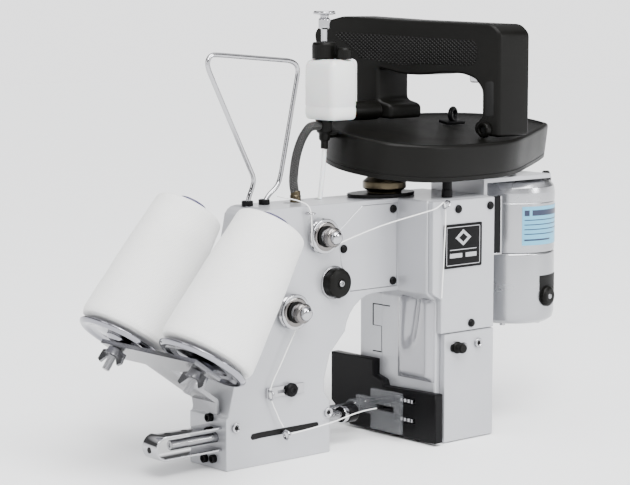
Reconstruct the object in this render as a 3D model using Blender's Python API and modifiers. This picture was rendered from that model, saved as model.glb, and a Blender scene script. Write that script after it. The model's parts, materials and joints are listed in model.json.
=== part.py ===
"""Bag closer sewing machine: a portable two-thread chain-stitch head on its own motor and handle.

The bag's mouth runs along Y through the throat between the needle leg (left) and the looper
column (right). X points along the arm towards the motor, Y away from the operator, Z up.
Lengths are in millimetres and are turned into metres by the helpers.
"""

import math

import bmesh
import bpy
from mathutils import Matrix, Vector

UNIT = 0.001
GAP = 0.3

# Casting
ARM_DEPTH = 46.0
ARM_TOP = 200.0
LEG_RIGHT = 106.0
COLUMN_LEFT = 190.0
COLUMN_RIGHT = 252.0
COLUMN_FRONT = -34.0
COLUMN_BACK = 58.0
COVER_SHEET = 6.0
FOOT_HEIGHT = 0.0
SOLE = (50.0, 23.0, 0.0)

# Sewing line
NEEDLE_Y = 14.0
NEEDLE_Z = 25.0
PRESSER_Y = 34.0
BAR_R = 4.0
PLATE_FACE = 181.0

# Drive
SHAFT_X = 185.0
SHAFT_Y = 22.0
MOTOR_X = 322.0
MOTOR_Y = 8.0
MOTOR_R = 37.5
MOTOR_TOP = 208.0
MOTOR_SEAM = 146.0
MOTOR_BOTTOM = 84.0
BELT_LOW = 225.0
BELT_HIGH = 231.0
DRIVE_GROOVE = 32.0
MOTOR_GROOVE = 9.0
BELT_THICK = 3.5

# Belt cover, tipped up at the back
COVER_TILT = math.radians(9.0)
COVER_FRONT = -36.5
COVER_BASE = 214.0
COVER_TALL = 30.0
COVER_WALL = 2.5

# Handle: a bar across the cover, its profile drawn along HANDLE_RUN and extruded along +X
HANDLE_CORNER = (266.5, -30.0)
HANDLE_RUN = Vector((-0.488, 0.873, 0.0)).normalized()
HANDLE_DEEP = 36.0

# Thread cones, on posts that lean towards the arm
CONE_LEAN = math.radians(35.0)
CONE_AXIS = Vector((math.sin(CONE_LEAN), 0.0, math.cos(CONE_LEAN)))
CONE_ALONG = Vector((CONE_AXIS.z, 0.0, -CONE_AXIS.x))
FIRST_CONE = Vector((-48.0, -40.0, 106.0))
CONE_BASES = (FIRST_CONE, FIRST_CONE + Vector((0.0, 90.0, 0.0)) - CONE_ALONG * 10.0)
CONE_TALL = 107.0
STAND_Y = 30.0
GUARD_BEND = -53.5
GUARD_OUTER = 9.5
GUARD_INNER = 7.6

# Oil pump
OIL_X = 127.0
OIL_Y = 31.0

FRONT = Matrix(((1, 0, 0), (0, 0, -1), (0, 1, 0))).to_4x4()
SIDE = Matrix(((0, 0, 1), (1, 0, 0), (0, 1, 0))).to_4x4()
PLAN = Matrix.Identity(4)


def clear_scene():
    """Empty the scene of every object."""
    for item in list(bpy.data.objects):
        bpy.data.objects.remove(item, do_unlink=True)


def make_collection(name):
    """Return a new collection linked to the scene."""
    group = bpy.data.collections.new(name)
    bpy.context.scene.collection.children.link(group)
    return group


clear_scene()
PARTS = make_collection("bag_closer_sewing_machine")
CUTTERS = make_collection("cutters")


def finish(item, colour, roughness, metallic, angle=35.0):
    """Give an object its own Principled material and smooth shading with sharp edges."""
    material = bpy.data.materials.new(item.name)
    material.use_nodes = True
    shader = material.node_tree.nodes["Principled BSDF"]
    shader.inputs["Base Color"].default_value = (*colour, 1.0)
    shader.inputs["Roughness"].default_value = roughness
    shader.inputs["Metallic"].default_value = metallic
    item.data.materials.append(material)
    if item.type == "MESH":
        item.data.shade_smooth()
        item.data.set_sharp_from_angle(angle=math.radians(angle))
    return item


SILVER = ((0.62, 0.63, 0.66), 0.35, 0.3)
BLACK_PAINT = ((0.02, 0.02, 0.022), 0.4, 0.0)
BLACK_PLASTIC = ((0.025, 0.025, 0.025), 0.5, 0.0)
CHROME = ((0.8, 0.8, 0.82), 0.12, 1.0)
STEEL = ((0.55, 0.56, 0.58), 0.3, 1.0)
BRASS = ((0.7, 0.5, 0.2), 0.3, 1.0)
RUBBER = ((0.02, 0.02, 0.02), 0.85, 0.0)
YARN = ((0.92, 0.92, 0.9), 0.9, 0.0)
CORE = ((0.12, 0.08, 0.2), 0.8, 0.0)
BOTTLE = ((0.85, 0.86, 0.84), 0.35, 0.0)


def mesh_object(name, mesh, group):
    """Link a mesh as a new object in a collection."""
    item = bpy.data.objects.new(name, mesh)
    group.objects.link(item)
    if group is CUTTERS:
        item.hide_render = True
        item.display_type = "WIRE"
    return item


def solid_curve(curve_object, group):
    """Turn a curve object into a welded mesh object of the same name."""
    name = curve_object.name
    graph = bpy.context.evaluated_depsgraph_get()
    mesh = bpy.data.meshes.new_from_object(curve_object.evaluated_get(graph))
    place = curve_object.matrix_world.copy()
    bpy.data.objects.remove(curve_object, do_unlink=True)
    work = bmesh.new()
    work.from_mesh(mesh)
    bmesh.ops.remove_doubles(work, verts=work.verts, dist=1e-6)
    bmesh.ops.recalc_face_normals(work, faces=work.faces)
    work.to_mesh(mesh)
    work.free()
    item = mesh_object(name, mesh, group)
    item.matrix_world = place
    return item


def outline(name, points, low, high, facing=FRONT, group=PARTS, holes=()):
    """Extrude a flat outline (mm) from low to high along the axis that the facing matrix gives.

    FRONT outlines are (X, Z) and run along -Y from -high to -low; SIDE outlines are (Y, Z)
    and run along X; PLAN outlines are (X, Y) and run along Z.
    """
    curve = bpy.data.curves.new(name, "CURVE")
    curve.dimensions = "2D"
    curve.fill_mode = "BOTH"
    curve.extrude = 0.5 * (high - low) * UNIT
    for loop in (points, *holes):
        spline = curve.splines.new("POLY")
        spline.points.add(len(loop) - 1)
        for point, (across, up) in zip(spline.points, loop):
            point.co = (across * UNIT, up * UNIT, 0.0, 1.0)
        spline.use_cyclic_u = True
    item = bpy.data.objects.new(name, curve)
    bpy.context.scene.collection.objects.link(item)
    item.matrix_world = facing @ Matrix.Translation((0.0, 0.0, 0.5 * (low + high) * UNIT))
    bpy.context.view_layer.update()
    return solid_curve(item, group)


def front(name, points, near, far, group=PARTS, holes=()):
    """Extrude an (X, Z) outline from Y = near to Y = far."""
    return outline(name, points, -far, -near, FRONT, group, holes)


def frame_on(axis):
    """Return a rotation that takes +Z to an axis."""
    return Vector(axis).to_track_quat("Z", "Y").to_matrix().to_4x4()


def turned(name, profile, at, axis=(0, 0, 1), steps=24, group=PARTS, closed=False):
    """Turn a profile of (radius, height) points, from top to bottom, about an axis through a point."""
    mesh = bpy.data.meshes.new(name)
    count = len(profile)
    edges = [(index, index + 1) for index in range(count - 1)]
    if closed:
        edges.append((count - 1, 0))
    mesh.from_pydata([(r * UNIT, 0.0, z * UNIT) for r, z in profile], edges, [])
    item = mesh_object(name, mesh, group)
    item.matrix_world = Matrix.Translation(Vector(at) * UNIT) @ frame_on(axis)
    screw = item.modifiers.new("turn", "SCREW")
    screw.axis = "Z"
    screw.steps = steps
    screw.render_steps = steps
    screw.use_merge_vertices = True
    screw.merge_threshold = 1e-5
    screw.use_smooth_shade = True
    return item


def rod(name, radius, start, end, steps=16, group=PARTS):
    """Make a plain cylinder between two points (mm)."""
    begin = Vector(start)
    run = Vector(end) - begin
    length = run.length
    return turned(name, [(0, length), (radius, length), (radius, 0), (0, 0)], begin, run, steps, group)


def block(name, low, high, group=PARTS):
    """Make an axis-aligned box between two corners (mm) from a cube."""
    mesh = bpy.data.meshes.new(name)
    work = bmesh.new()
    bmesh.ops.create_cube(work, size=1.0)
    size = [(b - a) * UNIT for a, b in zip(low, high)]
    bmesh.ops.scale(work, verts=work.verts, vec=size)
    work.to_mesh(mesh)
    work.free()
    item = mesh_object(name, mesh, group)
    item.location = [0.5 * (a + b) * UNIT for a, b in zip(low, high)]
    return item


def combine(item, other, operation):
    """Add an exact Boolean modifier."""
    modifier = item.modifiers.new(operation.lower(), "BOOLEAN")
    modifier.operation = operation
    modifier.solver = "EXACT"
    modifier.object = other


def place_origin(item, at):
    """Move a mesh object's origin to a point (mm) on its joint's axis."""
    bpy.context.view_layer.update()
    point = Vector(at) * UNIT
    item.data.transform(Matrix.Translation(-point) @ item.matrix_world)
    item.matrix_world = Matrix.Translation(point)


def cut(item, other):
    """Subtract a cutter."""
    combine(item, other, "DIFFERENCE")


def join(item, other):
    """Unite a helper solid."""
    combine(item, other, "UNION")


def soften(item, width, segments=2, angle=40.0):
    """Round the sharp edges."""
    bevel = item.modifiers.new("round", "BEVEL")
    bevel.width = width * UNIT
    bevel.segments = segments
    bevel.limit_method = "ANGLE"
    bevel.angle_limit = math.radians(angle)


def wire(name, route, radius, colour, roughness, metallic, ring=2, close=False):
    """Make a round wire as a poly curve with filled caps."""
    curve = bpy.data.curves.new(name, "CURVE")
    curve.dimensions = "3D"
    curve.bevel_depth = radius * UNIT
    curve.bevel_resolution = ring
    curve.use_fill_caps = True
    spline = curve.splines.new("POLY")
    spline.points.add(len(route) - 1)
    for point, place in zip(spline.points, route):
        point.co = (*(Vector(place) * UNIT), 1.0)
    spline.use_cyclic_u = close
    item = bpy.data.objects.new(name, curve)
    PARTS.objects.link(item)
    return finish(item, colour, roughness, metallic)


def arc(centre, radius, start, stop, count):
    """Return points on an arc, in degrees, ends included."""
    angles = [math.radians(start + (stop - start) * step / count) for step in range(count + 1)]
    return [(centre[0] + radius * math.cos(a), centre[1] + radius * math.sin(a)) for a in angles]


def smooth_route(points, steps):
    """Return a Catmull-Rom curve through hand-set points."""
    guides = [Vector(point) for point in points]
    guides = [2 * guides[0] - guides[1], *guides, 2 * guides[-1] - guides[-2]]
    route = []
    for index in range(1, len(guides) - 2):
        before, start, end, after = guides[index - 1:index + 3]
        for step in range(steps):
            t = step / steps
            bend = (2 * start + (end - before) * t
                    + (2 * before - 5 * start + 4 * end - after) * t * t
                    + (3 * start - before - 3 * end + after) * t ** 3)
            route.append(0.5 * bend)
    route.append(guides[-2])
    return route


def inset(points, distance):
    """Return a convex counter-clockwise outline moved inwards by a distance."""
    result = []
    count = len(points)
    for index in range(count):
        here = Vector(points[index])
        before = (here - Vector(points[index - 1])).normalized()
        after = (Vector(points[(index + 1) % count]) - here).normalized()
        inward = Vector((-before.y - after.y, before.x + after.x)).normalized()
        lean = max(0.3, inward.dot(Vector((-after.y, after.x))))
        result.append(tuple(here + inward * (distance / lean)))
    return result


def rectangle(left, low, right, high):
    """Return a rectangle's corners, counter-clockwise."""
    return [(left, low), (right, low), (right, high), (left, high)]


# ---------------------------------------------------------------- casting and covers

ARM_COVER = [(128, 128), (179, 128), (179, 196), (140, 196), (114, 177), (118, 150)]


def make_casting():
    """The needle leg, the arm and the looper column in one painted casting."""
    throat = arc((154, 92), 32, 172, 92, 6)
    profile = [(0, 0), (LEG_RIGHT, 0), (LEG_RIGHT, 42), (100, 49), (100, 60), (106, 80)]
    profile += [*reversed(throat[::-1]), (COLUMN_RIGHT, 124), (COLUMN_RIGHT, ARM_TOP)]
    profile += [*arc((46, 188), 12, 90, 150, 3), (8, 66), (2, 42), (0, 41)]
    casting = front("frame_casting", profile, 0, ARM_DEPTH)
    column = [(COLUMN_LEFT, FOOT_HEIGHT), (COLUMN_RIGHT, FOOT_HEIGHT), (COLUMN_RIGHT, ARM_TOP),
              (180, ARM_TOP), (180, 124), (COLUMN_LEFT, 117)]
    column = front("column_block", column, COLUMN_FRONT, 30, CUTTERS)
    near = (COLUMN_LEFT + 1, 20, FOOT_HEIGHT + 1)
    back = block("column_back", near, (COLUMN_RIGHT - 1, COLUMN_BACK, 118), CUTTERS)
    for solid in (casting, column, back):
        soften(solid, 1.6, 2, 50)
        if solid is not casting:
            join(casting, solid)
    ends = ((-5, NEEDLE_Y, NEEDLE_Z), (120, NEEDLE_Y, NEEDLE_Z))
    cut(casting, rod("needle_bore", BAR_R + GAP, *ends, 20, CUTTERS))
    cut(casting, rod("presser_bore", 3.8, (8, PRESSER_Y, NEEDLE_Z), (120, PRESSER_Y, NEEDLE_Z), 16,
                     CUTTERS))
    cut(casting, block("take_up_slot", (25, -2, 22), (93, NEEDLE_Y, 26), CUTTERS))
    cut(casting, block("looper_chamber", (198, -40, 12), (246, 20, 82), CUTTERS))
    cut(casting, block("feed_window", (180, -28, 8.5), (205, 19, 40), CUTTERS))
    cut(casting, front("cover_recess", inset(ARM_COVER, -GAP), -2, 4.3, CUTTERS))
    cut(casting, rod("shaft_hole", 7, (SHAFT_X, SHAFT_Y, 178), (SHAFT_X, SHAFT_Y, 205), 20, CUTTERS))
    for index, across in enumerate((46.0, 63.0)):
        cut(casting, rod(f"stand_hole_{index}", 2.4, (across, 30, 184), (across, 30, 205), 12, CUTTERS))
    finish(casting, *SILVER)


def make_covers():
    """The flat covers on the arm and the column, and the name plate."""
    arm_cover = front("arm_front_cover", ARM_COVER, 0, 4)
    soften(arm_cover, 0.5, 1)
    finish(arm_cover, *SILVER)
    near = COLUMN_FRONT - COVER_SHEET
    far = COLUMN_FRONT - GAP
    upper = [(191, 91), (251.7, 91), (251.7, 199.5), (181, 199.5), (181, 125), (191, 119)]
    lower = rectangle(195, 0.5, 251.7, 90.4)
    for name, points in (("column_upper_cover", upper), ("column_lower_cover", lower)):
        cover = front(name, points, near, far)
        soften(cover, 1.0, 2)
        finish(cover, *SILVER)
    plate = front("name_plate", rectangle(192.5, 144, 236, 180), near - 1.1, near - GAP)
    finish(plate, *BLACK_PAINT)


def make_screws():
    """Domed black screws on the covers."""
    face = COLUMN_FRONT - COVER_SHEET - GAP
    places = ((174, -GAP, 191.5), (174, -GAP, 132.5), (209, face, 192))
    for index, place in enumerate(places, 1):
        dome = [(0, 2.4), (2.0, 2.1), (3.2, 1.1), (3.4, 0), (0, 0)]
        screw = turned(f"cover_screw_{index}", dome, place, (0, -1, 0), 14)
        finish(screw, *BLACK_PAINT)


def make_throat():
    """The black throat plate and the feed dog behind it."""
    points = [(-44, 2), (60, 2), (84, 20), (84, 62), (31, 62), (31, 49), (20, 46), (18, 41), (-44, 43)]
    plate = outline("throat_plate", points, PLATE_FACE, COLUMN_LEFT - GAP, SIDE)
    soften(plate, 0.8, 1)
    for index, low in enumerate((14.5, 30.5)):
        cut(plate, block(f"feed_slot_{index}", (170, -20, low), (195, 4, low + 5), CUTTERS))
    cut(plate, block("needle_slot", (170, 9, 22.5), (195, 18, 27.5), CUTTERS))
    finish(plate, *BLACK_PAINT)
    feed = block("feed_dog", (COLUMN_LEFT + 0.6, -20, 13), (COLUMN_LEFT + 4, 2, 37))
    for index, low in enumerate((15.5, 31.5)):
        near = (PLATE_FACE - 0.2, -17, low)
        join(feed, block(f"feed_row_{index}", near, (COLUMN_LEFT + 2, -1, low + 3), CUTTERS))
    finish(feed, *STEEL)


def make_looper():
    """The looper: a hook arm on its own rocking shaft inside the column."""
    hook = [(232, -4), (232, 6), (214, 8), (206, 13), (200.5, 16), (200, 14.5), (206, 8), (216, -2)]
    looper = outline("looper", hook, 22, 28, PLAN)
    join(looper, rod("looper_shaft", 5, (228, 1, 12.6), (228, 1, 81.4), 16, CUTTERS))
    place_origin(looper, (228, 1, 22))
    finish(looper, *STEEL)


# ---------------------------------------------------------------- needle side

def make_needle_bar():
    """The needle bar, its clamp, needle, take-up eyelet and guard."""
    bar = rod("needle_bar", BAR_R, (-44, NEEDLE_Y, NEEDLE_Z), (146, NEEDLE_Y, NEEDLE_Z), 20)
    cut(bar, rod("eyelet_hole", 1.6, (55, NEEDLE_Y - 1.5, 24), (55, -20, 24), 12, CUTTERS))
    finish(bar, *STEEL)
    ring = [(4.3, 16), (4.3, 0), (6.5, 0), (6.5, 5.5), (7.5, 6), (7.5, 14.5), (6, 16)]
    clamp = turned("needle_clamp", ring[::-1], (129, NEEDLE_Y, NEEDLE_Z), (1, 0, 0), 18, closed=True)
    finish(clamp, *BLACK_PAINT)
    point = [(0, 31), (0.5, 28), (1.0, 22), (1.0, 0), (0, 0)]
    needle = turned("needle", point, (146.3, NEEDLE_Y, NEEDLE_Z), (1, 0, 0), 10)
    finish(needle, *CHROME)
    stem = [(0, NEEDLE_Y - 1.8), (1.2, NEEDLE_Y - 1.8), (1.2, -5), (0, -5)]
    stem = [(r, -z) for r, z in reversed(stem)]
    eyelet = turned("take_up_eyelet", stem, (55, 0, 24), (0, -1, 0), 12)
    join(eyelet, turned("eyelet_loop", ring_profile(3.2, 1.0), (55, -6.5, 22), (1, 0, 0), 16,
                        CUTTERS, True))
    finish(eyelet, *CHROME)


def ring_profile(radius, wire_radius, count=8):
    """Return the closed section of a ring, for turning."""
    return [(radius + math.cos(-turn) * wire_radius, math.sin(-turn) * wire_radius)
            for turn in (2 * math.pi * step / count for step in range(count))]


def make_guard():
    """The chrome strip bent round the needle bar's free end."""
    bend = (GUARD_BEND, NEEDLE_Z)
    outer = arc(bend, GUARD_OUTER, 270, 90, 12)
    inner = arc(bend, GUARD_INNER, 90, 270, 12)
    strip = [(-GAP, NEEDLE_Z - GUARD_OUTER), *outer, (-GAP, NEEDLE_Z + GUARD_OUTER)]
    strip += [(-GAP, NEEDLE_Z + GUARD_INNER), *inner, (-GAP, NEEDLE_Z - GUARD_INNER)]
    guard = front("bar_guard", strip, NEEDLE_Y - 9, NEEDLE_Y + 9)
    for index, across in enumerate((-46.0, -30.0)):
        low = (across, NEEDLE_Y, NEEDLE_Z + 5)
        high = (across, NEEDLE_Y, NEEDLE_Z + 12)
        cut(guard, rod(f"guard_hole_{index}", 2.6, low, high, 14, CUTTERS))
    finish(guard, *CHROME)


def make_presser():
    """The presser bar and its flat foot in front of the throat plate."""
    bar = rod("presser_bar", 3.5, (22, PRESSER_Y, NEEDLE_Z), (165, PRESSER_Y, NEEDLE_Z), 16)
    finish(bar, *STEEL)
    shoe = [(-12, 6), (24, 6), (24, 18), (42, 18), (42, 32), (24, 32), (24, 40), (-12, 40)]
    foot = outline("presser_foot", shoe, 172, 175.5, SIDE)
    join(foot, rod("foot_boss", 6, (159, PRESSER_Y, NEEDLE_Z), (173.5, PRESSER_Y, NEEDLE_Z), 18, CUTTERS))
    cut(foot, rod("boss_bore", 3.8, (150, PRESSER_Y, NEEDLE_Z), (165.6, PRESSER_Y, NEEDLE_Z), 16, CUTTERS))
    cut(foot, block("foot_slot", (165, -4, 22.5), (180, 19, 27.5), CUTTERS))
    finish(foot, (0.75, 0.78, 0.8), 0.15, 0.6)


# ---------------------------------------------------------------- drive

def make_drive():
    """The main shaft, the two pulleys and the belt."""
    turns = [2 * math.pi * step / 24 for step in range(24)]
    seat = [(182 + 33 * math.cos(turn), 23 + 20.5 * math.sin(turn)) for turn in turns]
    hole = arc((SHAFT_X, SHAFT_Y), 14.5, 0, 342, 19)
    gasket = outline("bearing_seat", seat, ARM_TOP + GAP, 203.0, PLAN, PARTS, (hole,))
    finish(gasket, *BLACK_PAINT)
    bush = [(14, 0), (14, 4), (18, 6), (18, 12), (12, 17), (6.5, 17), (6.5, 0)]
    bush = bush[::-1][1:] + [bush[-1]]
    bearing = turned("shaft_bearing", bush, (SHAFT_X, SHAFT_Y, ARM_TOP + GAP), steps=20, closed=True)
    finish(bearing, *BRASS)
    shaft = rod("main_shaft", 6.0, (SHAFT_X, SHAFT_Y, 180), (SHAFT_X, SHAFT_Y, 239), 20)
    finish(shaft, *STEEL)
    make_pulley("drive_pulley", (SHAFT_X, SHAFT_Y), DRIVE_GROOVE, DRIVE_GROOVE + 4, 6.3, 32)
    make_pulley("motor_pulley", (MOTOR_X, MOTOR_Y), MOTOR_GROOVE, MOTOR_GROOVE + 4, 4.0, 20,
                MOTOR_TOP + GAP)
    inner = belt_loop(GAP)
    outer = belt_loop(GAP + BELT_THICK)
    belt = outline("drive_belt", outer, BELT_LOW, BELT_HIGH, PLAN, PARTS, (inner,))
    finish(belt, *RUBBER)


def make_pulley(name, centre, groove, rim, bore, steps, stub=None):
    """Make a grooved pulley, bored for a shaft or turned with its own stub shaft down to a height."""
    low = BELT_LOW - GAP
    high = BELT_HIGH + GAP
    profile = [(bore, high + 3), (rim, high + 3), (rim, high), (groove, high), (groove, low), (rim, low),
               (rim, low - 3), (bore, low - 3)]
    if stub is not None:
        profile = [(0, high + 3), *profile[1:], (bore, stub), (0, stub)]
    pulley = turned(name, profile, (*centre, 0), steps=steps, closed=stub is None)
    finish(pulley, *STEEL)


def belt_loop(offset):
    """Return the taut loop round both pulleys, a distance outside their grooves."""
    big = Vector((SHAFT_X, SHAFT_Y))
    small = Vector((MOTOR_X, MOTOR_Y))
    run = small - big
    heading = math.degrees(math.atan2(run.y, run.x))
    lean = math.degrees(math.acos((DRIVE_GROOVE - MOTOR_GROOVE) / run.length))
    near = arc(big, DRIVE_GROOVE + offset, heading + lean, heading + 360 - lean, 18)
    far = arc(small, MOTOR_GROOVE + offset, heading - lean, heading + lean, 8)
    return near + far


def make_motor():
    """The upright motor, its lower end bell, brush cap and bracket."""
    top = [(0, MOTOR_TOP), (26, MOTOR_TOP), (33, MOTOR_TOP - 2), (36.6, MOTOR_TOP - 6),
           (MOTOR_R, MOTOR_TOP - 11), (MOTOR_R, MOTOR_SEAM), (0, MOTOR_SEAM)]
    housing = turned("motor_housing", top, (MOTOR_X, MOTOR_Y, 0), steps=36)
    finish(housing, *SILVER)
    low = MOTOR_BOTTOM
    bell = [(0, MOTOR_SEAM - 0.4), (MOTOR_R, MOTOR_SEAM - 0.4), (MOTOR_R, low + 9), (36.2, low + 4),
            (32, low + 1), (26, low), (0, low)]
    end = turned("motor_end_bell", bell, (MOTOR_X, MOTOR_Y, 0), steps=36)
    heading = Vector((0.152, -0.988, 0)).normalized()
    seat = Vector((MOTOR_X, MOTOR_Y, 108)) + heading * 33
    cut(end, rod("brush_seat", 9.3, seat, seat + heading * 12, 20, CUTTERS))
    finish(end, *SILVER)
    dome = [(0, 8.5), (6, 8.5), (8, 7.5), (9, 6), (9, 0), (0, 0)]
    cap = turned("brush_cap", dome, seat + heading * GAP, heading, 18)
    finish(cap, *BLACK_PLASTIC)
    wall = COLUMN_RIGHT + GAP
    angle = [(wall, 150), (256.2, 150), (256.2, 209.2), (334, 209.2), (334, 213), (wall, 213)]
    bracket = front("motor_bracket", angle, -27, 36)
    cut(bracket, rod("bracket_hole", 8, (MOTOR_X, MOTOR_Y, 200), (MOTOR_X, MOTOR_Y, 220), 24, CUTTERS))
    finish(bracket, *BLACK_PAINT)


# ---------------------------------------------------------------- belt cover and handle

COVER_PLAN = [(202, COVER_FRONT), (250, COVER_FRONT), (280, -31.5), (310, -18), (368, 14), (375,
                                                                                            26), (372, 44),
              (358, 60), (330, 75), (290, 83), (246, 86), (200, 84), (172, 77), (151, 61), (139.5,

                                                                                           36), (139.5, 12),
              (151, -13), (174, -30)]


def tilt_about_front(item):
    """Tip a piece of the cover up at the back, about the cover's lower front edge."""
    bpy.context.view_layer.update()
    hinge = Vector((0, COVER_FRONT, COVER_BASE)) * UNIT
    turn = Matrix.Translation(hinge) @ Matrix.Rotation(COVER_TILT, 4, "X") @ Matrix.Translation(-hinge)
    item.matrix_world = turn @ item.matrix_world


def make_belt_cover():
    """The egg-shaped black cover over the pulleys, its post and its lifting eye."""
    top = COVER_BASE + COVER_TALL
    cover = outline("belt_cover", COVER_PLAN, COVER_BASE, top, PLAN)
    soften(cover, 2.2, 2, 50)
    room = outline("cover_room", inset(COVER_PLAN, COVER_WALL), COVER_BASE - 5, top - COVER_WALL,
                   PLAN, CUTTERS)
    tilt_about_front(cover)
    tilt_about_front(room)
    cut(cover, room)
    finish(cover, *BLACK_PLASTIC)
    post = rod("cover_post", 4.5, (212, -24, ARM_TOP + GAP), (212, -24, 241.2), 14)
    finish(post, *BLACK_PAINT)
    eye = block("lifting_eye", (262, 32, top + GAP), (284, 44, top + 2.8))
    ring = turned("eye_ring", ring_profile(7.5, 2.6, 10), (273, 38, top + 11), (0.3, -1, 0), 20,
                  CUTTERS, True)
    tilt_about_front(eye)
    tilt_about_front(ring)
    join(eye, ring)
    finish(eye, *BLACK_PAINT)


def on_handle(item):
    """Shear a piece drawn in the handle's own run, height and depth onto the machine."""
    shear = Matrix.Identity(4)
    shear.col[0] = (*HANDLE_RUN, 0)
    shear.col[1] = (0, 0, 1, 0)
    shear.col[2] = (1, 0, 0, 0)
    shear.col[3] = (HANDLE_CORNER[0] * UNIT, HANDLE_CORNER[1] * UNIT, 0, 1)
    item.data.transform(shear @ item.matrix_world)
    item.matrix_world = Matrix.Identity(4)


def make_handle():
    """The D handle and its start button."""
    profile = [(0, 246.4), (22, 249.4), (22, 258), (15.5, 263), (15.5, 286), (22, 295.5), (34,

                                                                                          299.5), (52, 299.3),
               (70, 297.5), (86, 298.2), (106, 303.5), (106, 276), (94, 272), (94, 259.8), (126, 264),
               (126, 309.6), (150, 314), (162, 321), (164, 332), (157, 341.5), (138, 346.6), (87,

                                                                                             343.4), (7, 340.2),
               (0, 333)]
    handle = outline("handle", profile, 0, HANDLE_DEEP, PLAN)
    on_handle(handle)
    pocket = outline("button_pocket", rectangle(23.4, 290, 35.6, 309), 11.4, 24.6, PLAN, CUTTERS)
    on_handle(pocket)
    recess = outline("leg_recess", rectangle(5.5, 265, 12.5, 292), -2, 4, PLAN, CUTTERS)
    on_handle(recess)
    soften(handle, 1.8, 2, 40)
    cut(handle, pocket)
    cut(handle, recess)
    finish(handle, *BLACK_PLASTIC)
    button = outline("start_button", rectangle(24, 291, 35, 304), 12, 24, PLAN)
    on_handle(button)
    soften(button, 1.0, 2)
    finish(button, (0.4, 0.41, 0.43), 0.3, 0.8)


# ---------------------------------------------------------------- oil pump

def make_oiler():
    """The oil bottle, its push pump and the feed pipes."""
    nozzle = turned("bottle_nozzle", [(0, 264.4), (6.5, 264.4), (6.5, 246), (5, 243), (3, 241), (0, 241)],
                    (OIL_X, OIL_Y, 0), steps=18)
    arm = rectangle(OIL_X, OIL_Y - 4, 143.6, OIL_Y + 4)
    join(nozzle, outline("bottle_arm", arm, 257.8, 262, PLAN, CUTTERS))
    finish(nozzle, *BLACK_PAINT)
    bottle = block("oil_bottle", (114, 6, 264.8), (142, 43, 313))
    soften(bottle, 4.5, 3)
    cut(bottle, rod("pump_bore", 3.2, (OIL_X, OIL_Y, 286), (OIL_X, OIL_Y, 320), 14, CUTTERS))
    finish(bottle, *BOTTLE)
    rim = [(3.2, 13.5), (8.6, 13.5), (10, 12), (10, 8.6), (9.3, 8.1), (10, 7.6), (10, 4.2), (9.3,

                                                                                            3.7), (10, 3.2),
           (10, 0), (3.2, 0)]
    cap = turned("bottle_cap", rim, (OIL_X, OIL_Y, 313 + GAP), steps=20, closed=True)
    finish(cap, *BLACK_PLASTIC)
    filler = turned("filler_cap", [(0, 9), (5.5, 9), (6.2, 8), (6.2, 0), (0, 0)], (133, 14,
                                                                                   313 + GAP), steps=16)
    finish(filler, *BLACK_PLASTIC)
    stem = [(0, 351.5), (8, 351.5), (9, 350.3), (9, 347.5), (4.8, 346.5), (4.8, 338.5), (2.6,
                                                                                         337.5), (2.6, 300),
            (0, 300)]
    plunger = turned("plunger", stem, (OIL_X, OIL_Y, 0), steps=18)
    finish(plunger, *STEEL)
    long_pipe = smooth_route([(OIL_X, OIL_Y, 240.6), (OIL_X - 1, OIL_Y, 228), (OIL_X - 2, OIL_Y + 1, 214),
                              (OIL_X - 3, OIL_Y + 2, 200.5)], 4)
    wire("oil_pipe", long_pipe, 1.9, (0.85, 0.86, 0.85), 0.4, 0.0)
    hose = smooth_route([(92, 26, 200.8), (91.8, 26, 206), (90, 26, 218), (91, 24, 236), (95, 22, 250),
                         (104, 24, 258.5), (112.5, 28, 260), (120, 30, 260)], 4)
    wire("braided_hose", hose, 3.6, (0.5, 0.47, 0.42), 0.6, 0.2)


# ---------------------------------------------------------------- tensions and guides

TENSIONS = (("1", (95.3, 175.6)), ("2", (64.1, 118.6)))


def make_tensions():
    """Two thread tension units, the stitch dial, the latch knob and the thread guides."""
    for number, (across, up) in TENSIONS:
        base = (across, -GAP, up)
        discs = [(0, 22), (2.2, 22), (2.2, 6), (13.4, 7.7), (14, 7.1), (11, 5), (14, 2.9), (13.4,

                                                                                           2.3), (4, 3.2), (6, 0),
                 (0, 0)]
        finish(turned(f"tension_discs_{number}", discs, base, (0, -1, 0), 24), *CHROME)
        nut = [(2.5, 21), (4.6, 21), (5.4, 20), (5.4, 15.5), (8, 14.5), (8, 13.4), (6, 12.4), (2.5, 12.4)]
        finish(turned(f"tension_nut_{number}", nut, base, (0, -1, 0), 18, closed=True), *CHROME)
    dial = [(0, 9.5), (5, 9.5), (6, 8.5), (11.8, 8.2), (12.4, 7.4), (12.4, 1.5), (11, 0), (0, 0)]
    finish(turned("stitch_dial", dial, (109.5, -GAP, 137), (0, -1, 0), 24), *BLACK_PLASTIC)
    face = COLUMN_FRONT - COVER_SHEET - GAP
    latch = [(0, 9), (3.5, 9), (5.6, 8), (5.6, 3), (6.6, 2.5), (6.6, 0), (0, 0)]
    finish(turned("latch_knob", latch, (209, face, 78.5), (0, -1, 0), 18), *BLACK_PLASTIC)
    guide = front("thread_guide", rectangle(39, 52.5, 77, 60.5), -2.1, -GAP)
    cut(guide, front("guide_slot", rectangle(50, 55.3, 71, 57.7), -5, 2, CUTTERS))
    finish(guide, *CHROME)


def make_thread_stand():
    """The chrome wire stand, one rod bent into a triangle."""
    bends = [(46, 185), (46, 201), (47.5, 207), (51, 214), (53, 221), (12, 300), (7.5, 309), (7.5, 314.5),
             (11, 318.5), (17, 318.5), (90, 312.5), (96, 310), (98.5, 305), (97, 298), (80, 222), (77, 214),
             (67, 207), (63, 201), (63, 185)]
    route = [(across, STAND_Y, up) for across, up in bends]
    wire("thread_stand", route, 1.9, *CHROME)


# ---------------------------------------------------------------- cones

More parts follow.
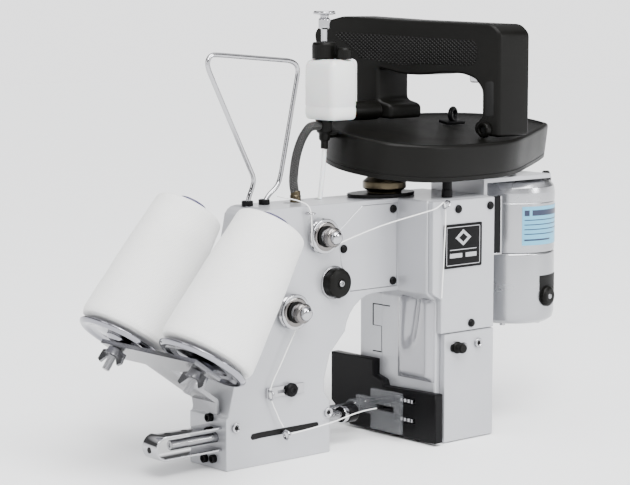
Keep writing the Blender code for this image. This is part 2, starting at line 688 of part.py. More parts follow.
def make_cones():
    """The spool bracket, and on it two dishes with their bolts, cones, cores and wing nuts."""
    centre = CONE_BASES[0] - CONE_AXIS * 14.5
    along = CONE_ALONG
    reach = (-1.4 - centre.x) / along.x
    path = [centre - along * 12, centre + along * reach, Vector((-5.0, 0, 52.0))]
    bend = path[1]
    strip = [(path[0].x, path[0].z), (bend.x, bend.z), (bend.x + 1.6, 44), (bend.x - 1.2, 44),
             (bend.x - 2.6, bend.z - 2.4), (path[0].x - 1.5, path[0].z - 2.6)]
    bracket = front("spool_bracket", strip[::-1], 8, 38)
    thick = CONE_AXIS * 0.2
    corner = centre + along * 12 + thick
    start = centre - along * 16 + thick
    under = CONE_AXIS * 3.4
    arm = [(p.x, p.z) for p in (start, corner, corner - under, start - under)]
    join(bracket, front("bracket_arm", arm[::-1], -53, 64, CUTTERS))
    for index, base in enumerate(CONE_BASES):
        cut(bracket, rod(f"bolt_hole_{index}", 3.6, base - CONE_AXIS * 30, base + CONE_AXIS * 30,
                         14, CUTTERS))
    finish(bracket, *CHROME)
    for number, base in enumerate(CONE_BASES, 1):
        dish = [(0, 14), (9, 14), (15.2, 10), (15.2, -8.3), (22, -8.3), (26, -10.2), (33, -10.2),
                (35, -8.8),
                (35.6, -9.8), (33, -13), (22, -13.6), (3.2, -13.9), (3.2, -36), (0, -36)]
        finish(turned(f"spool_dish_{number}", dish, base, CONE_AXIS, 32), *CHROME)
        core = [(9.6, CONE_TALL + 5), (11.6, CONE_TALL + 5), (20, -8), (17.2, -8), (9.6, CONE_TALL)]
        finish(turned(f"cone_core_{number}", core, base, CONE_AXIS, 24, closed=True), *CORE)
        yarn = [(12.4, CONE_TALL), (24, CONE_TALL), (27.4, CONE_TALL - 2.5), (28, CONE_TALL - 6), (36.8, 0),
                (35.8, -4.5), (31, -6), (20.4, -6)]
        finish(turned(f"thread_cone_{number}", yarn, base, CONE_AXIS, 32, closed=True), *YARN)
        hub = [(3.6, 6), (6, 6), (7, 0), (3.6, 0)]
        nut = turned(f"wing_nut_{number}", hub, base - CONE_AXIS * 24.2, CONE_AXIS, 16, closed=True)
        for side in (-1, 1):
            fin = [(5 * side, 4), (5 * side, -1.6), (11 * side, -8), (15 * side, -6), (14 * side, 2)]
            wing = outline(f"wing_{number}_{side}", fin[::side], -1.1, 1.1, FRONT, CUTTERS)
            wing.matrix_world = (Matrix.Translation((base - CONE_AXIS * 22.7) * UNIT) @ frame_on(CONE_AXIS)
                                 @ wing.matrix_world)
            join(nut, wing)
        finish(nut, *CHROME)


def make_threads():
    """The two sewing threads, run taut from the guides to the needle and the looper."""
    wrap = [(x, -5.3, z) for x, z in arc(TENSIONS[0][1], 13.1, 180, 300, 7)]
    loop = [(75, 28, 206), (79, 6, 203.5), (81.3, -3.4, 199), (82.2, -5.2, 187), *wrap, (108, -5.8, 168),
            (140, -23, 182), (178, -42, 193.5), (191.5, -42.4, 196.5), (191.3, -42.2, 160), (189.5,
                                                                                             -41.6, 121)]
    wire("looper_thread", smooth_route(loop, 2), 0.5, *YARN, ring=2)
    needle = [(66, -4.8, 104), (52, -4.4, 80), (41, -3.6, 58), (48, -4.2, 38), (53.5, -4.4, 28.4)]
    wire("needle_thread", smooth_route(needle, 3), 0.5, *YARN, ring=2)
    low = [(60.5, -6.4, 22.4), (85, -5.4, 23.6), (108, -3.5, 25), (130, 1, 26.6), (148, 7, 26.2),
           (160, 11, 25.4),
           (168, 12.2, 25)]
    wire("needle_thread_low", smooth_route(low, 3), 0.5, *YARN, ring=2)


def move_to_frame():
    """Put the frame's origin at the middle of the needle leg's sole."""
    bpy.context.view_layer.update()
    shift = Matrix.Translation(Vector(SOLE) * -UNIT)
    for group in (PARTS, CUTTERS):
        for item in group.objects:
            item.matrix_world = shift @ item.matrix_world


make_casting()
make_covers()
make_screws()
make_throat()
make_looper()
make_needle_bar()
make_guard()
make_presser()
make_drive()
make_motor()
make_belt_cover()
make_handle()
make_oiler()
make_tensions()
make_thread_stand()
make_cones()
make_threads()
move_to_frame()
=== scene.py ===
"""Looks of the bag closer sewing machine: paint, chrome, mouldings, yarn and fine metalwork.

Lengths are in millimetres in the machine's own axes, X along the arm to the motor, Y away from
the operator and Z up, measured from the needle leg's front left corner. to_frame turns them into
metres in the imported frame, whose origin is the middle of the leg's sole.
"""
import json
import logging
import math
from dataclasses import dataclass, field
from enum import Enum

import bmesh
import bpy
import numpy as np
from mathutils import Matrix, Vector

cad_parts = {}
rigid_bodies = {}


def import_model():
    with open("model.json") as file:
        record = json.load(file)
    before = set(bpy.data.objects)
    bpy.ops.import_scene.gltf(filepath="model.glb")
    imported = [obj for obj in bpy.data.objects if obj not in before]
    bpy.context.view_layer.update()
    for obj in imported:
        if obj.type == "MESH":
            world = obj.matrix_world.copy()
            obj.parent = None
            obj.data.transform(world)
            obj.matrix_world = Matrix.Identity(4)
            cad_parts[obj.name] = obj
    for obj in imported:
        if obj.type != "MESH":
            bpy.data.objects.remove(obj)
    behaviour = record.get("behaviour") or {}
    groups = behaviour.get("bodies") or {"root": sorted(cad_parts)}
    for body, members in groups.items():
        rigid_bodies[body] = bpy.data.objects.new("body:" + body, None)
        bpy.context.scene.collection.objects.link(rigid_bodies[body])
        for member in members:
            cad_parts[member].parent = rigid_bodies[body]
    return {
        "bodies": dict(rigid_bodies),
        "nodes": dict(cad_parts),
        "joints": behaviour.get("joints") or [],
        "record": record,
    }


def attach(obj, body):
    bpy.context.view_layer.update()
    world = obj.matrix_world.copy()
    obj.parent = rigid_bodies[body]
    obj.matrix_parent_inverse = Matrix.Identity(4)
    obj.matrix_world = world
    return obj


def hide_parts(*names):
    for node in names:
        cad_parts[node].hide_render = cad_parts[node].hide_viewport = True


LOG = logging.getLogger("bag_closer")
Array = np.ndarray
SOLE = np.array((50.0, 23.0, 0.0))
GAP = 0.3
ARM_TOP = 200.0
X, Y, Z = np.eye(3)
CONE_LEAN = math.radians(35.0)
CONE_AXIS = np.array((math.sin(CONE_LEAN), 0.0, math.cos(CONE_LEAN)))
CONE_ALONG = np.array((CONE_AXIS[2], 0.0, -CONE_AXIS[0]))
FIRST_CONE = np.array((-48.0, -40.0, 106.0))
CONE_BASES = (FIRST_CONE, FIRST_CONE + 90.0 * Y - 10.0 * CONE_ALONG)
HANDLE_RUN = np.array((-0.488, 0.873, 0.0)) / math.hypot(0.488, 0.873)
HANDLE_CORNER = np.array((266.5, -30.0, 0.0))


# ------------------------------------------------------------------ geometry

def to_frame(points: Array) -> Array:
    """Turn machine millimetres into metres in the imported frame.

    Args:
        points: Array whose last axis is X, Y, Z in millimetres.

    Returns:
        The same array in metres, measured from the middle of the leg's sole.
    """
    return (np.asarray(points, float) - SOLE) * 0.001


def unit(vectors: Array) -> Array:
    """Scale vectors to length one along the last axis."""
    return vectors / np.maximum(np.linalg.norm(vectors, axis=-1, keepdims=True), 1e-12)


def arc(centre: tuple[float, float], radius: float, start: float, stop: float, count: int) -> Array:
    """Points of a circle's arc in degrees: centre plus radius times cosine and sine of the angle."""
    turn = np.radians(np.linspace(start, stop, count + 1))
    return np.stack((centre[0] + radius * np.cos(turn), centre[1] + radius * np.sin(turn)), -1)


def round_corners(points: Array, radius: float, count: int = 4, closed: bool = True) -> Array:
    """Replace each corner by a short quadratic curve.

    The curve starts and ends on the two edges, a radius from the corner or just under half the
    edge, and the corner is its middle control point.

    Args:
        points: Outline as an (n, 2) array.
        radius: Distance from a corner to the curve's ends.
        count: Steps in each curve.
        closed: Whether the outline joins its own start.

    Returns:
        The rounded outline.
    """
    points = np.asarray(points, float)
    before = np.roll(points, 1, 0) - points
    after = np.roll(points, -1, 0) - points
    near = np.minimum(radius, 0.48 * np.linalg.norm(before, axis=1))[:, None]
    far = np.minimum(radius, 0.48 * np.linalg.norm(after, axis=1))[:, None]
    start = points + unit(before) * near
    end = points + unit(after) * far
    t = np.linspace(0.0, 1.0, count + 1)[None, :, None]
    curve = (1 - t) ** 2 * start[:, None] + 2 * t * (1 - t) * points[:, None] + t ** 2 * end[:, None]
    if closed:
        return curve.reshape(-1, 2)
    inner = curve[1:-1].reshape(-1, 2)
    return np.concatenate((points[:1], inner, points[-1:]))


def smooth_route(points: list[tuple[float, ...]], steps: int, closed: bool = False) -> Array:
    """Points of a Catmull-Rom curve, which passes through its guides with the slope of their neighbours.

    Args:
        points: Guide points.
        steps: Steps from one guide to the next.
        closed: Whether the curve joins its own start.

    Returns:
        The curve as an (m, d) array.
    """
    guides = np.asarray(points, float)
    if closed:
        guides = np.concatenate((guides[-1:], guides, guides[:2]))
    else:
        guides = np.concatenate((2 * guides[:1] - guides[1:2], guides, 2 * guides[-1:] - guides[-2:-1]))
    p0, p1, p2, p3 = guides[:-3, None], guides[1:-2, None], guides[2:-1, None], guides[3:, None]
    t = (np.arange(steps) / steps)[None, :, None]
    curve = 0.5 * (2 * p1 + (p2 - p0) * t + (2 * p0 - 5 * p1 + 4 * p2 - p3) * t ** 2
                   + (3 * p1 - p0 - 3 * p2 + p3) * t ** 3)
    curve = curve.reshape(-1, guides.shape[1])
    return curve if closed else np.concatenate((curve, guides[-2:-1]))


def inset(outline: Array, distances: Array) -> Array:
    """Move a counter-clockwise outline inwards along its corner normals, once for each distance.

    Args:
        outline: Closed (n, 2) outline.
        distances: Inward distances, as a (k,) array.

    Returns:
        A (k, n, 2) array of outlines.
    """
    before = unit(outline - np.roll(outline, 1, 0))
    after = unit(np.roll(outline, -1, 0) - outline)
    inward = unit(np.stack((-before[:, 1] - after[:, 1], before[:, 0] + after[:, 0]), -1))
    lean = np.maximum(0.5, np.sum(inward * np.stack((-after[:, 1], after[:, 0]), -1), -1))
    return outline[None] + np.asarray(distances)[:, None, None] * (inward / lean[:, None])[None]


def skin(name: str, grid: Array, rows_join: bool = False, caps: bool = True,
         columns_join: bool = True) -> bpy.types.Object:
    """Put a grid of points into a mesh object, four corners to a face.

    Args:
        name: The piece's name.
        grid: A (rows, columns, 3) array in machine millimetres.
        rows_join: Whether the last row meets the first.
        caps: Whether the first and last rows are closed with a face.
        columns_join: Whether the last column meets the first.

    Returns:
        The new object. Its UV map counts turns across the columns and centimetres along the rows.
    """
    rows, columns = grid.shape[:2]
    index = np.arange(rows * columns).reshape(rows, columns)
    low = index if rows_join else index[:-1]
    high = np.roll(index, -1, 0) if rows_join else index[1:]
    quads = np.stack((low, np.roll(low, -1, 1), np.roll(high, -1, 1), high), -1)
    step = np.linalg.norm(np.diff(grid, axis=0, append=grid[:1]), axis=2).mean(1)
    run = np.concatenate(((0.0,), np.cumsum(step)))[:low.shape[0] + 1] * 0.1
    v, u = np.meshgrid(np.arange(low.shape[0]), np.arange(columns), indexing="ij")
    left, right = u / columns, (u + 1) / columns
    corners = np.stack((np.stack((left, run[v]), -1), np.stack((right, run[v]), -1),
                        np.stack((right, run[v + 1]), -1), np.stack((left, run[v + 1]), -1)), 2)
    if not columns_join:
        quads, corners = quads[:, :-1], corners[:, :-1]
    faces = quads.reshape(-1, 4).tolist()
    uv = corners.reshape(-1, 2)
    if caps and not rows_join:
        faces += [index[0][::-1].tolist(), index[-1].tolist()]
        uv = np.concatenate((uv, np.zeros((2 * columns, 2))))
    mesh = bpy.data.meshes.new(name)
    mesh.from_pydata(to_frame(grid.reshape(-1, 3)).tolist(), [], faces)
    layer = mesh.uv_layers.new(name="run")
    layer.data.foreach_set("uv", uv.ravel())
    turn_outwards(mesh)
    mesh.shade_smooth()
    mesh.set_sharp_from_angle(angle=math.radians(42.0))
    item = bpy.data.objects.new(name, mesh)
    bpy.context.scene.collection.objects.link(item)
    return item


def turn_outwards(mesh: bpy.types.Mesh) -> None:
    """Point every face of a closed mesh outwards."""
    work = bmesh.new()
    work.from_mesh(mesh)
    bmesh.ops.recalc_face_normals(work, faces=work.faces)
    work.to_mesh(mesh)
    work.free()


def side_axes(axis: Array) -> tuple[Array, Array]:
    """Return two directions square to an axis and to each other."""
    helper = Y if abs(axis[1]) < 0.9 else X
    first = unit(np.cross(helper, axis))
    return first, np.cross(axis, first)


def revolve(name: str, profile: list[tuple[float, float]], origin: Array, axis: Array = Z, steps: int = 48,
            corner: float = 0.4, ring: bool = False, flutes: int = 0, depth: float = 0.0,
            band: tuple[float, float] = (0.0, 0.0)) -> bpy.types.Object:
    """Turn a profile of (radius, height) about an axis, and flute a band of it.

    A point is the origin plus height along the axis plus radius times the cosine and sine of the
    turn. In the band of heights the radius also loses depth times the square of a sine that
    repeats once a flute.

    Args:
        name: The piece's name.
        profile: Radius and height pairs.
        origin: Point on the axis.
        axis: Unit direction of the axis.
        steps: Steps round the turn.
        corner: Rounding of the profile's corners.
        ring: Whether the profile closes on itself, as a ring's section does.
        flutes: Number of flutes.
        depth: Depth of a flute.
        band: Lowest and highest height that the flutes reach.

    Returns:
        The turned object.
    """
    section = np.asarray([p for p in profile if ring or p[0] > 1e-6], float)
    section = round_corners(section, corner, 3, closed=ring)
    turn = np.linspace(0.0, 2 * math.pi, steps, endpoint=False)
    radius = np.repeat(section[:, :1], steps, 1)
    if flutes:
        inside = (section[:, 1] > band[0]) & (section[:, 1] < band[1])
        radius = radius - inside[:, None] * depth * np.sin(0.5 * flutes * turn)[None] ** 2
    first, second = side_axes(np.asarray(axis, float))
    grid = (np.asarray(origin, float) + section[:, 1][:, None, None] * axis
            + radius[..., None] * (np.cos(turn)[:, None] * first + np.sin(turn)[:, None] * second)[None])
    return skin(name, grid, rows_join=ring, caps=not ring)


def sweep(name: str, path: Array, section: Array, up: Array | None = None,
          closed: bool = False) -> bpy.types.Object:
    """Carry a flat section along a path.

    The section's first axis lies across the path and square to the up direction, and its second
    axis completes the right angle.

    Args:
        name: The piece's name.
        path: The (n, 3) points that the section follows.
        section: The (m, 2) outline that is carried.
        up: Direction kept out of the first axis, or None for the axis least in line with the path.
        closed: Whether the path joins its own start.

    Returns:
        The swept object.
    """
    slope = (np.roll(path, -1, 0) - np.roll(path, 1, 0)) if closed else np.gradient(path, axis=0)
    tangent = unit(slope)
    if up is None:
        up = np.eye(3)[int(np.argmin(np.max(np.abs(tangent), axis=0)))]
    across = unit(np.cross(tangent, up))
    rise = np.cross(across, tangent)
    grid = path[:, None] + section[None, :, :1] * across[:, None] + section[None, :, 1:] * rise[:, None]
    return skin(name, grid, rows_join=closed, caps=not closed)


def tube(name: str, path: Array, radius: float, sides: int = 12, up: Array | None = None) -> bpy.types.Object:
    """Carry a circle of a radius along a path."""
    return sweep(name, path, arc((0, 0), radius, 0, 360, sides)[:-1], up)


@dataclass(frozen=True)
class Basis:
    """A set of axes for flat outlines: a point is origin plus u across, v along and w out."""

    origin: tuple[float, float, float] = (0.0, 0.0, 0.0)
    across: tuple[float, float, float] = (1.0, 0.0, 0.0)
    along: tuple[float, float, float] = (0.0, 0.0, 1.0)
    out: tuple[float, float, float] = (0.0, 1.0, 0.0)

    def place(self, flat: Array, height: Array) -> Array:
        """Return flat outlines set at a height along the out direction."""
        return (np.array(self.origin) + flat[..., :1] * np.array(self.across)
                + flat[..., 1:] * np.array(self.along) + height[..., None] * np.array(self.out))


FRONT = Basis()
PLAN = Basis(along=(0, 1, 0), out=(0, 0, 1))
SIDE = Basis(across=(0, 1, 0), out=(1, 0, 0))
ON_HANDLE = Basis(tuple(HANDLE_CORNER), tuple(HANDLE_RUN), (0, 0, 1), (1, 0, 0))


def slab(name: str, outline: Array, low: float, high: float, edge: float = 0.6, basis: Basis = FRONT,
         steps: int = 4) -> bpy.types.Object:
    """Extrude an outline and round both rims.

    Ring by ring, the outline moves in by edge times one minus the cosine of an angle while its
    height moves by edge times one minus the sine.

    Args:
        name: The piece's name.
        outline: Closed counter-clockwise (n, 2) outline.
        low: Height of the first face.
        high: Height of the second face.
        edge: Radius of the rims.
        basis: Axes of the outline.
        steps: Rings in each rim.

    Returns:
        The extruded object.
    """
    turn = np.linspace(math.pi / 2, 0.0, steps + 1)
    move = edge * (1 - np.cos(turn))
    rise = edge * (1 - np.sin(turn))
    rings = inset(np.asarray(outline, float), np.concatenate((move, move[::-1])))
    heights = np.concatenate((low + rise, (high - rise)[::-1]))
    grid = basis.place(rings, np.repeat(heights[:, None], rings.shape[1], 1))
    return skin(name, grid)


def rectangle(left: float, low: float, right: float, high: float, corner: float = 1.0) -> Array:
    """Return a rectangle with rounded corners, counter-clockwise."""
    return round_corners(np.array(((left, low), (right, low), (right, high), (left, high))), corner, 5)


# ------------------------------------------------------------------ finishes

class Pattern(Enum):
    """Named surface reliefs."""

    PEEL = "slight orange peel of sprayed paint"
    GRAIN = "fine grain of a moulding"
    TURNED = "fine rings of a lathe"
    BRUSHED = "long fine scratches"
    POLISHED = "almost no relief"
    WOUND = "thread wound on a cone"
    TWIST = "plies of a sewing thread"
    BRAID = "crossed strands of a braid"
    DIAMOND = "diamonds pressed into a grip"


# Patterns whose grooves are painted darker in the colour, as painted shade between the strands.
STRANDS = (Pattern.WOUND, Pattern.BRAID, Pattern.DIAMOND, Pattern.TWIST)


class Nodes:
    """Builds one material's node tree."""

    def __init__(self, name: str) -> None:
        """Start an empty Principled material."""
        self.material = bpy.data.materials.new(name)
        self.material.use_nodes = True
        self.tree = self.material.node_tree
        self.shader = self.tree.nodes["Principled BSDF"]

    def add(self, kind: str, inputs: dict[str, object] | None = None, **settings: object) -> bpy.types.Node:
        """Add a node, set its fields and then set or link its inputs."""
        node = self.tree.nodes.new(kind)
        for key, value in settings.items():
            setattr(node, key, value)
        for key, value in (inputs or {}).items():
            socket = node.inputs[key]
            if isinstance(value, bpy.types.NodeSocket):
                self.tree.links.new(value, socket)
            else:
                socket.default_value = value
        return node

    def coordinates(self, output: str = "Object") -> bpy.types.NodeSocket:
        """Return a texture coordinate output."""
        return self.add("ShaderNodeTexCoord").outputs[output]

    def noise(self, vector: bpy.types.NodeSocket, scale: float, detail: float = 3.0) -> bpy.types.NodeSocket:
        """Return noise on a vector."""
        node = self.add("ShaderNodeTexNoise", {"Vector": vector, "Scale": scale, "Detail": detail})
        return node.outputs["Fac"]

    def stretch(self, vector: bpy.types.NodeSocket,
                scale: tuple[float, float, float]) -> bpy.types.NodeSocket:
        """Return a vector scaled by a Mapping node."""
        return self.add("ShaderNodeMapping", {"Vector": vector, "Scale": scale}).outputs["Vector"]

    def ripple(self, vector: bpy.types.NodeSocket, count: tuple[float, float, float]) -> bpy.types.NodeSocket:
        """Return a sine wave: half plus half the sine of the vector's dot product with a count of turns."""
        turn = tuple(2 * math.pi * part for part in count)
        dot = self.add("ShaderNodeVectorMath", operation="DOT_PRODUCT")
        self.tree.links.new(vector, dot.inputs[0])
        dot.inputs[1].default_value = turn
        wave = self.math("SINE", dot.outputs["Value"])
        return self.math("MULTIPLY_ADD", wave, 0.5, 0.5)

    def math(self, operation: str, *values: object) -> bpy.types.NodeSocket:
        """Return a Math node's value."""
        node = self.add("ShaderNodeMath", operation=operation)
        for socket, value in zip(node.inputs, values):
            if isinstance(value, bpy.types.NodeSocket):
                self.tree.links.new(value, socket)
            else:
                socket.default_value = value
        return node.outputs["Value"]

    def ramp(self, fac: bpy.types.NodeSocket,
             stops: list[tuple[float, tuple[float, ...]]]) -> bpy.types.NodeSocket:
        """Return a colour ramp's colour."""
        node = self.add("ShaderNodeValToRGB", {"Fac": fac})
        elements = node.color_ramp.elements
        while len(elements) < len(stops):
            elements.new(0.5)
        for element, (place, colour) in zip(elements, stops):
            element.position = place
            element.color = (*colour, 1.0)
        return node.outputs["Color"]

    def spread(self, fac: bpy.types.NodeSocket, low: float, high: float) -> bpy.types.NodeSocket:
        """Return a value mapped to a range."""
        node = self.add("ShaderNodeMapRange", {"Value": fac, "To Min": low, "To Max": high})
        return node.outputs["Result"]

    def bump(self, height: bpy.types.NodeSocket, strength: float, distance: float) -> bpy.types.NodeSocket:
        """Return a bumped normal."""
        node = self.add("ShaderNodeBump", {"Height": height, "Strength": strength, "Distance": distance})
        return node.outputs["Normal"]

    def feed(self, key: str, value: object) -> None:
        """Set or link one of the shader's sockets."""
        socket = self.shader.inputs[key]
        if isinstance(value, bpy.types.NodeSocket):
            self.tree.links.new(value, socket)
        else:
            socket.default_value = value


def tone(colour: tuple[float, float, float], factor: float) -> tuple[float, float, float]:
    """Return a colour made lighter or darker."""
    return tuple(min(1.0, part * factor) for part in colour)


@dataclass(frozen=True)
class Finish:
    """A surface finish: colour, gloss, relief and how much each varies.

    The colour drifts between a darker and a lighter tone by a soft noise, the roughness by a
    second one, and the relief is the pattern's height field on object or surface coordinates.
    On the strand patterns the colour is also darkened where the relief is low: painted shade
    in the grooves between the strands.
    """

    name: str
    colour: tuple[float, float, float]
    roughness: float
    metallic: float = 0.0
    pattern: Pattern = Pattern.POLISHED
    drift: float = 0.05
    relief: float = 0.15
    coat: float = 0.0
    sheen: float = 0.0
    subsurface: float = 0.0
    specular: float = 0.5
    alpha: float = 1.0

    def height(self, nodes: Nodes, place: bpy.types.NodeSocket) -> tuple[bpy.types.NodeSocket, float]:
        """Return the pattern's height field and its depth in metres."""
        run = nodes.coordinates("UV")
        if self.pattern is Pattern.PEEL:
            return nodes.noise(place, 900.0, 2.0), 0.00012
        if self.pattern is Pattern.GRAIN:
            return nodes.noise(place, 1800.0, 3.0), 0.0002
        if self.pattern is Pattern.TURNED:
            return nodes.noise(nodes.stretch(run, (0.5, 60.0, 1.0)), 3.0, 2.0), 0.0001
        if self.pattern is Pattern.BRUSHED:
            return nodes.noise(nodes.stretch(place, (60.0, 1500.0, 1500.0)), 1.0, 3.0), 0.0001
        crossed = {Pattern.WOUND: (run, (66.0, 9.0, 0.0), 0.0005),
                   Pattern.BRAID: (run, (8.0, 5.0, 0.0), 0.0008),
                   Pattern.DIAMOND: (place, (0.0, 330.0, 330.0), 0.0007)}
        if self.pattern in crossed:
            where, count, depth = crossed[self.pattern]
            left = nodes.ripple(where, count)
            mirror = (-count[0], count[1], count[2]) if count[2] == 0.0 else (count[0], -count[1], count[2])
            return nodes.math("MAXIMUM", left, nodes.ripple(where, mirror)), depth
        if self.pattern is Pattern.TWIST:
            return nodes.ripple(run, (2.0, 8.0, 0.0)), 0.0003
        return nodes.noise(place, 60.0, 2.0), 0.00005

    def make(self) -> bpy.types.Material:
        """Return the finish's material, made once and shared."""
        known = bpy.data.materials.get(self.name)
        if known is not None:
            return known
        nodes = Nodes(self.name)
        place = nodes.coordinates()
        cloud = nodes.noise(place, 18.0, 4.0)
        colour = nodes.ramp(cloud, [(0.3, tone(self.colour, 1 - self.drift)),
                                    (0.7, tone(self.colour, 1 + self.drift))])
        height, depth = self.height(nodes, place)
        # Painted shade: the colour is multiplied darker where the strand relief is low, in the grooves.
        if self.pattern in STRANDS:
            shade = nodes.ramp(height, [(0.0, tone(self.colour, 0.72)), (0.7, self.colour)])
            mix = nodes.add("ShaderNodeMix", {"Factor": 0.45}, data_type="RGBA", blend_type="MULTIPLY")
            nodes.tree.links.new(colour, mix.inputs["A"])
            nodes.tree.links.new(shade, mix.inputs["B"])
            colour = mix.outputs["Result"]
        nodes.feed("Base Color", colour)
        wear = nodes.noise(place, 45.0, 5.0)
        nodes.feed("Roughness", nodes.spread(wear, self.roughness * 0.82, min(1.0, self.roughness * 1.2)))
        nodes.feed("Metallic", self.metallic)
        nodes.feed("Specular IOR Level", self.specular)
        nodes.feed("Coat Weight", self.coat)
        nodes.feed("Coat Roughness", 0.12)
        nodes.feed("Sheen Weight", self.sheen)
        nodes.feed("Subsurface Weight", self.subsurface)
        nodes.feed("Subsurface Scale", 0.004)
        nodes.feed("Alpha", self.alpha)
        nodes.feed("Normal", nodes.bump(height, self.relief, depth))
        return nodes.material


SILVER = Finish("silver_grey_paint", (0.385, 0.39, 0.41), 0.34, 0.35, Pattern.PEEL, 0.03, 0.25, coat=0.3)
# Satin black paint, also laid as painted shade in screw sockets and over holes.
BLACK_PAINT_AND_SHADE = Finish("satin_black_paint_and_shade", (0.0025, 0.0024, 0.0028), 0.34, 0.0, Pattern.PEEL, 0.15, 0.3,
               specular=0.09)
# Black moulding, also laid as painted shade in the drives of the button head screws.
MOULDING_AND_SHADE = Finish("black_moulding_and_shade", (0.0026, 0.0025, 0.0021), 0.36, 0.0, Pattern.GRAIN, 0.18, 0.4,
                  specular=0.1)
GRIP = Finish("black_grip", (0.0045, 0.0043, 0.0038), 0.4, 0.0, Pattern.DIAMOND, 0.1, 1.0, specular=0.1)
CLEAR = Finish("clear_guard", (0.14, 0.145, 0.155), 0.05, 0.0, Pattern.POLISHED, 0.02, 0.1, coat=1.0,
               alpha=0.3)
SHIELD = Finish("milky_shield", (0.25, 0.252, 0.27), 0.16, 0.35, Pattern.PEEL, 0.05, 0.2, coat=1.0)
SHELL = Finish("aluminium_shell", (0.36, 0.365, 0.38), 0.26, 0.9, Pattern.PEEL, 0.04, 0.3, coat=0.2)
# Matt black for felt and seams, and also laid as painted shade in slots, holes, recesses, sockets and between
# discs.
MATT_BLACK_AND_SHADE = Finish("matt_black_and_shade", (0.004, 0.004, 0.004), 0.6, 0.0, Pattern.GRAIN, 0.1, 0.2, specular=0.15)
NICKEL = Finish("dark_nickel", (0.17, 0.16, 0.155), 0.12, 1.0, Pattern.TURNED, 0.1, 0.3)
CHROME = Finish("bright_chrome", (0.40, 0.40, 0.415), 0.09, 1.0, Pattern.POLISHED, 0.03, 0.1)
TURNED = Finish("turned_steel", (0.27, 0.27, 0.28), 0.2, 1.0, Pattern.TURNED, 0.06, 0.5)
STEEL = Finish("ground_steel", (0.25, 0.25, 0.26), 0.24, 1.0, Pattern.BRUSHED, 0.08, 0.4)
BRASS = Finish("oily_brass", (0.07, 0.058, 0.038), 0.32, 1.0, Pattern.TURNED, 0.12, 0.5)
RUBBER = Finish("belt_rubber", (0.02, 0.02, 0.021), 0.8, 0.0, Pattern.GRAIN, 0.2, 0.5)
YARN = Finish("wound_yarn", (0.84, 0.84, 0.83), 0.8, 0.0, Pattern.WOUND, 0.03, 0.7, sheen=0.2)
THREAD = Finish("sewing_thread", (0.88, 0.88, 0.87), 0.75, 0.0, Pattern.TWIST, 0.02, 0.5, sheen=0.3)
DISH = Finish("pressed_dish", (0.27, 0.27, 0.30), 0.09, 1.0, Pattern.POLISHED, 0.08, 0.2)
CORE = Finish("purple_tube", (0.022, 0.016, 0.075), 0.45, 0.0, Pattern.GRAIN, 0.2, 0.3)
BOTTLE = Finish("milky_plastic", (0.60, 0.61, 0.60), 0.3, 0.0, Pattern.PEEL, 0.05, 0.2, subsurface=0.3)
PIPE = Finish("milky_pipe", (0.78, 0.80, 0.80), 0.3, 0.0, Pattern.POLISHED, 0.04, 0.2, subsurface=0.2)
BRAID = Finish("braided_sleeve", (0.075, 0.073, 0.072), 0.42, 0.5, Pattern.BRAID, 0.5, 1.0)
LABEL = Finish("plain_label", (0.10, 0.34, 0.50), 0.35, 0.0, Pattern.POLISHED, 0.02, 0.1)
LABEL_BAND = Finish("label_ink", (0.006, 0.012, 0.04), 0.35, 0.0, Pattern.POLISHED, 0.04, 0.1)


# ------------------------------------------------------------------ the machine

@dataclass
class Machine:
    """The loaded frame, and the bookkeeping that ties new pieces to it."""

    frame: dict
    home: dict[str, str] = field(default_factory=dict)

    def __post_init__(self) -> None:
        """Note which body each node belongs to."""
        for body, nodes in self.frame["record"]["behaviour"]["bodies"].items():
            self.home.update({node: body for node in nodes})

    def fit(self, item: bpy.types.Object, finish: Finish, *nodes: str,
            body: str = "machine") -> bpy.types.Object:
        """Dress a new piece, ride it on its body and let it stand for CAD nodes.

        Args:
            item: The new piece.
            finish: Its finish.
            nodes: The CAD nodes it stands for, if any.
            body: The body it rides on when it stands for none.

        Returns:
            The same piece.
        """
        item.data.materials.clear()
        item.data.materials.append(finish.make())
        if nodes:
            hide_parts(*nodes)
            body = self.home[nodes[0]]
        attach(item, body)
        return item

    def dress(self, node: str, finish: Finish) -> None:
        """Give a CAD node its finish."""
        item = self.frame["nodes"][node]
        material = finish.make()
        if item.material_slots:
            item.material_slots[0].material = material
        else:
            item.data.materials.append(material)

    def refine(self, node: str, finish: Finish, edge: float = 0.4) -> bpy.types.Object:
        """Stand a merged copy of a flat-sided CAD node in its place, with its edges rounded a little.

        Args:
            node: The CAD node.
            finish: The copy's finish.
            edge: Width of the rounded edges in millimetres, or 0 for none.

        Returns:
            The new piece.
        """
        mesh = self.frame["nodes"][node].data.copy()
        mesh.name = f"{node}_finished"
        work = bmesh.new()
        work.from_mesh(mesh)
        bmesh.ops.remove_doubles(work, verts=work.verts, dist=2e-6)
        bmesh.ops.dissolve_limit(work, angle_limit=math.radians(1.0), verts=work.verts, edges=work.edges)
        work.to_mesh(mesh)
        work.free()
        mesh.shade_smooth()
        mesh.set_sharp_from_angle(angle=math.radians(38.0))
        item = bpy.data.objects.new(f"{node}_finished", mesh)
        bpy.context.scene.collection.objects.link(item)
        if edge:
            bevel = item.modifiers.new("rounded edges", "BEVEL")
            bevel.width = edge * 0.001
            bevel.segments = 2
            bevel.limit_method = "ANGLE"
            bevel.angle_limit = math.radians(45.0)
            bevel.harden_normals = True
        return self.fit(item, finish, node)


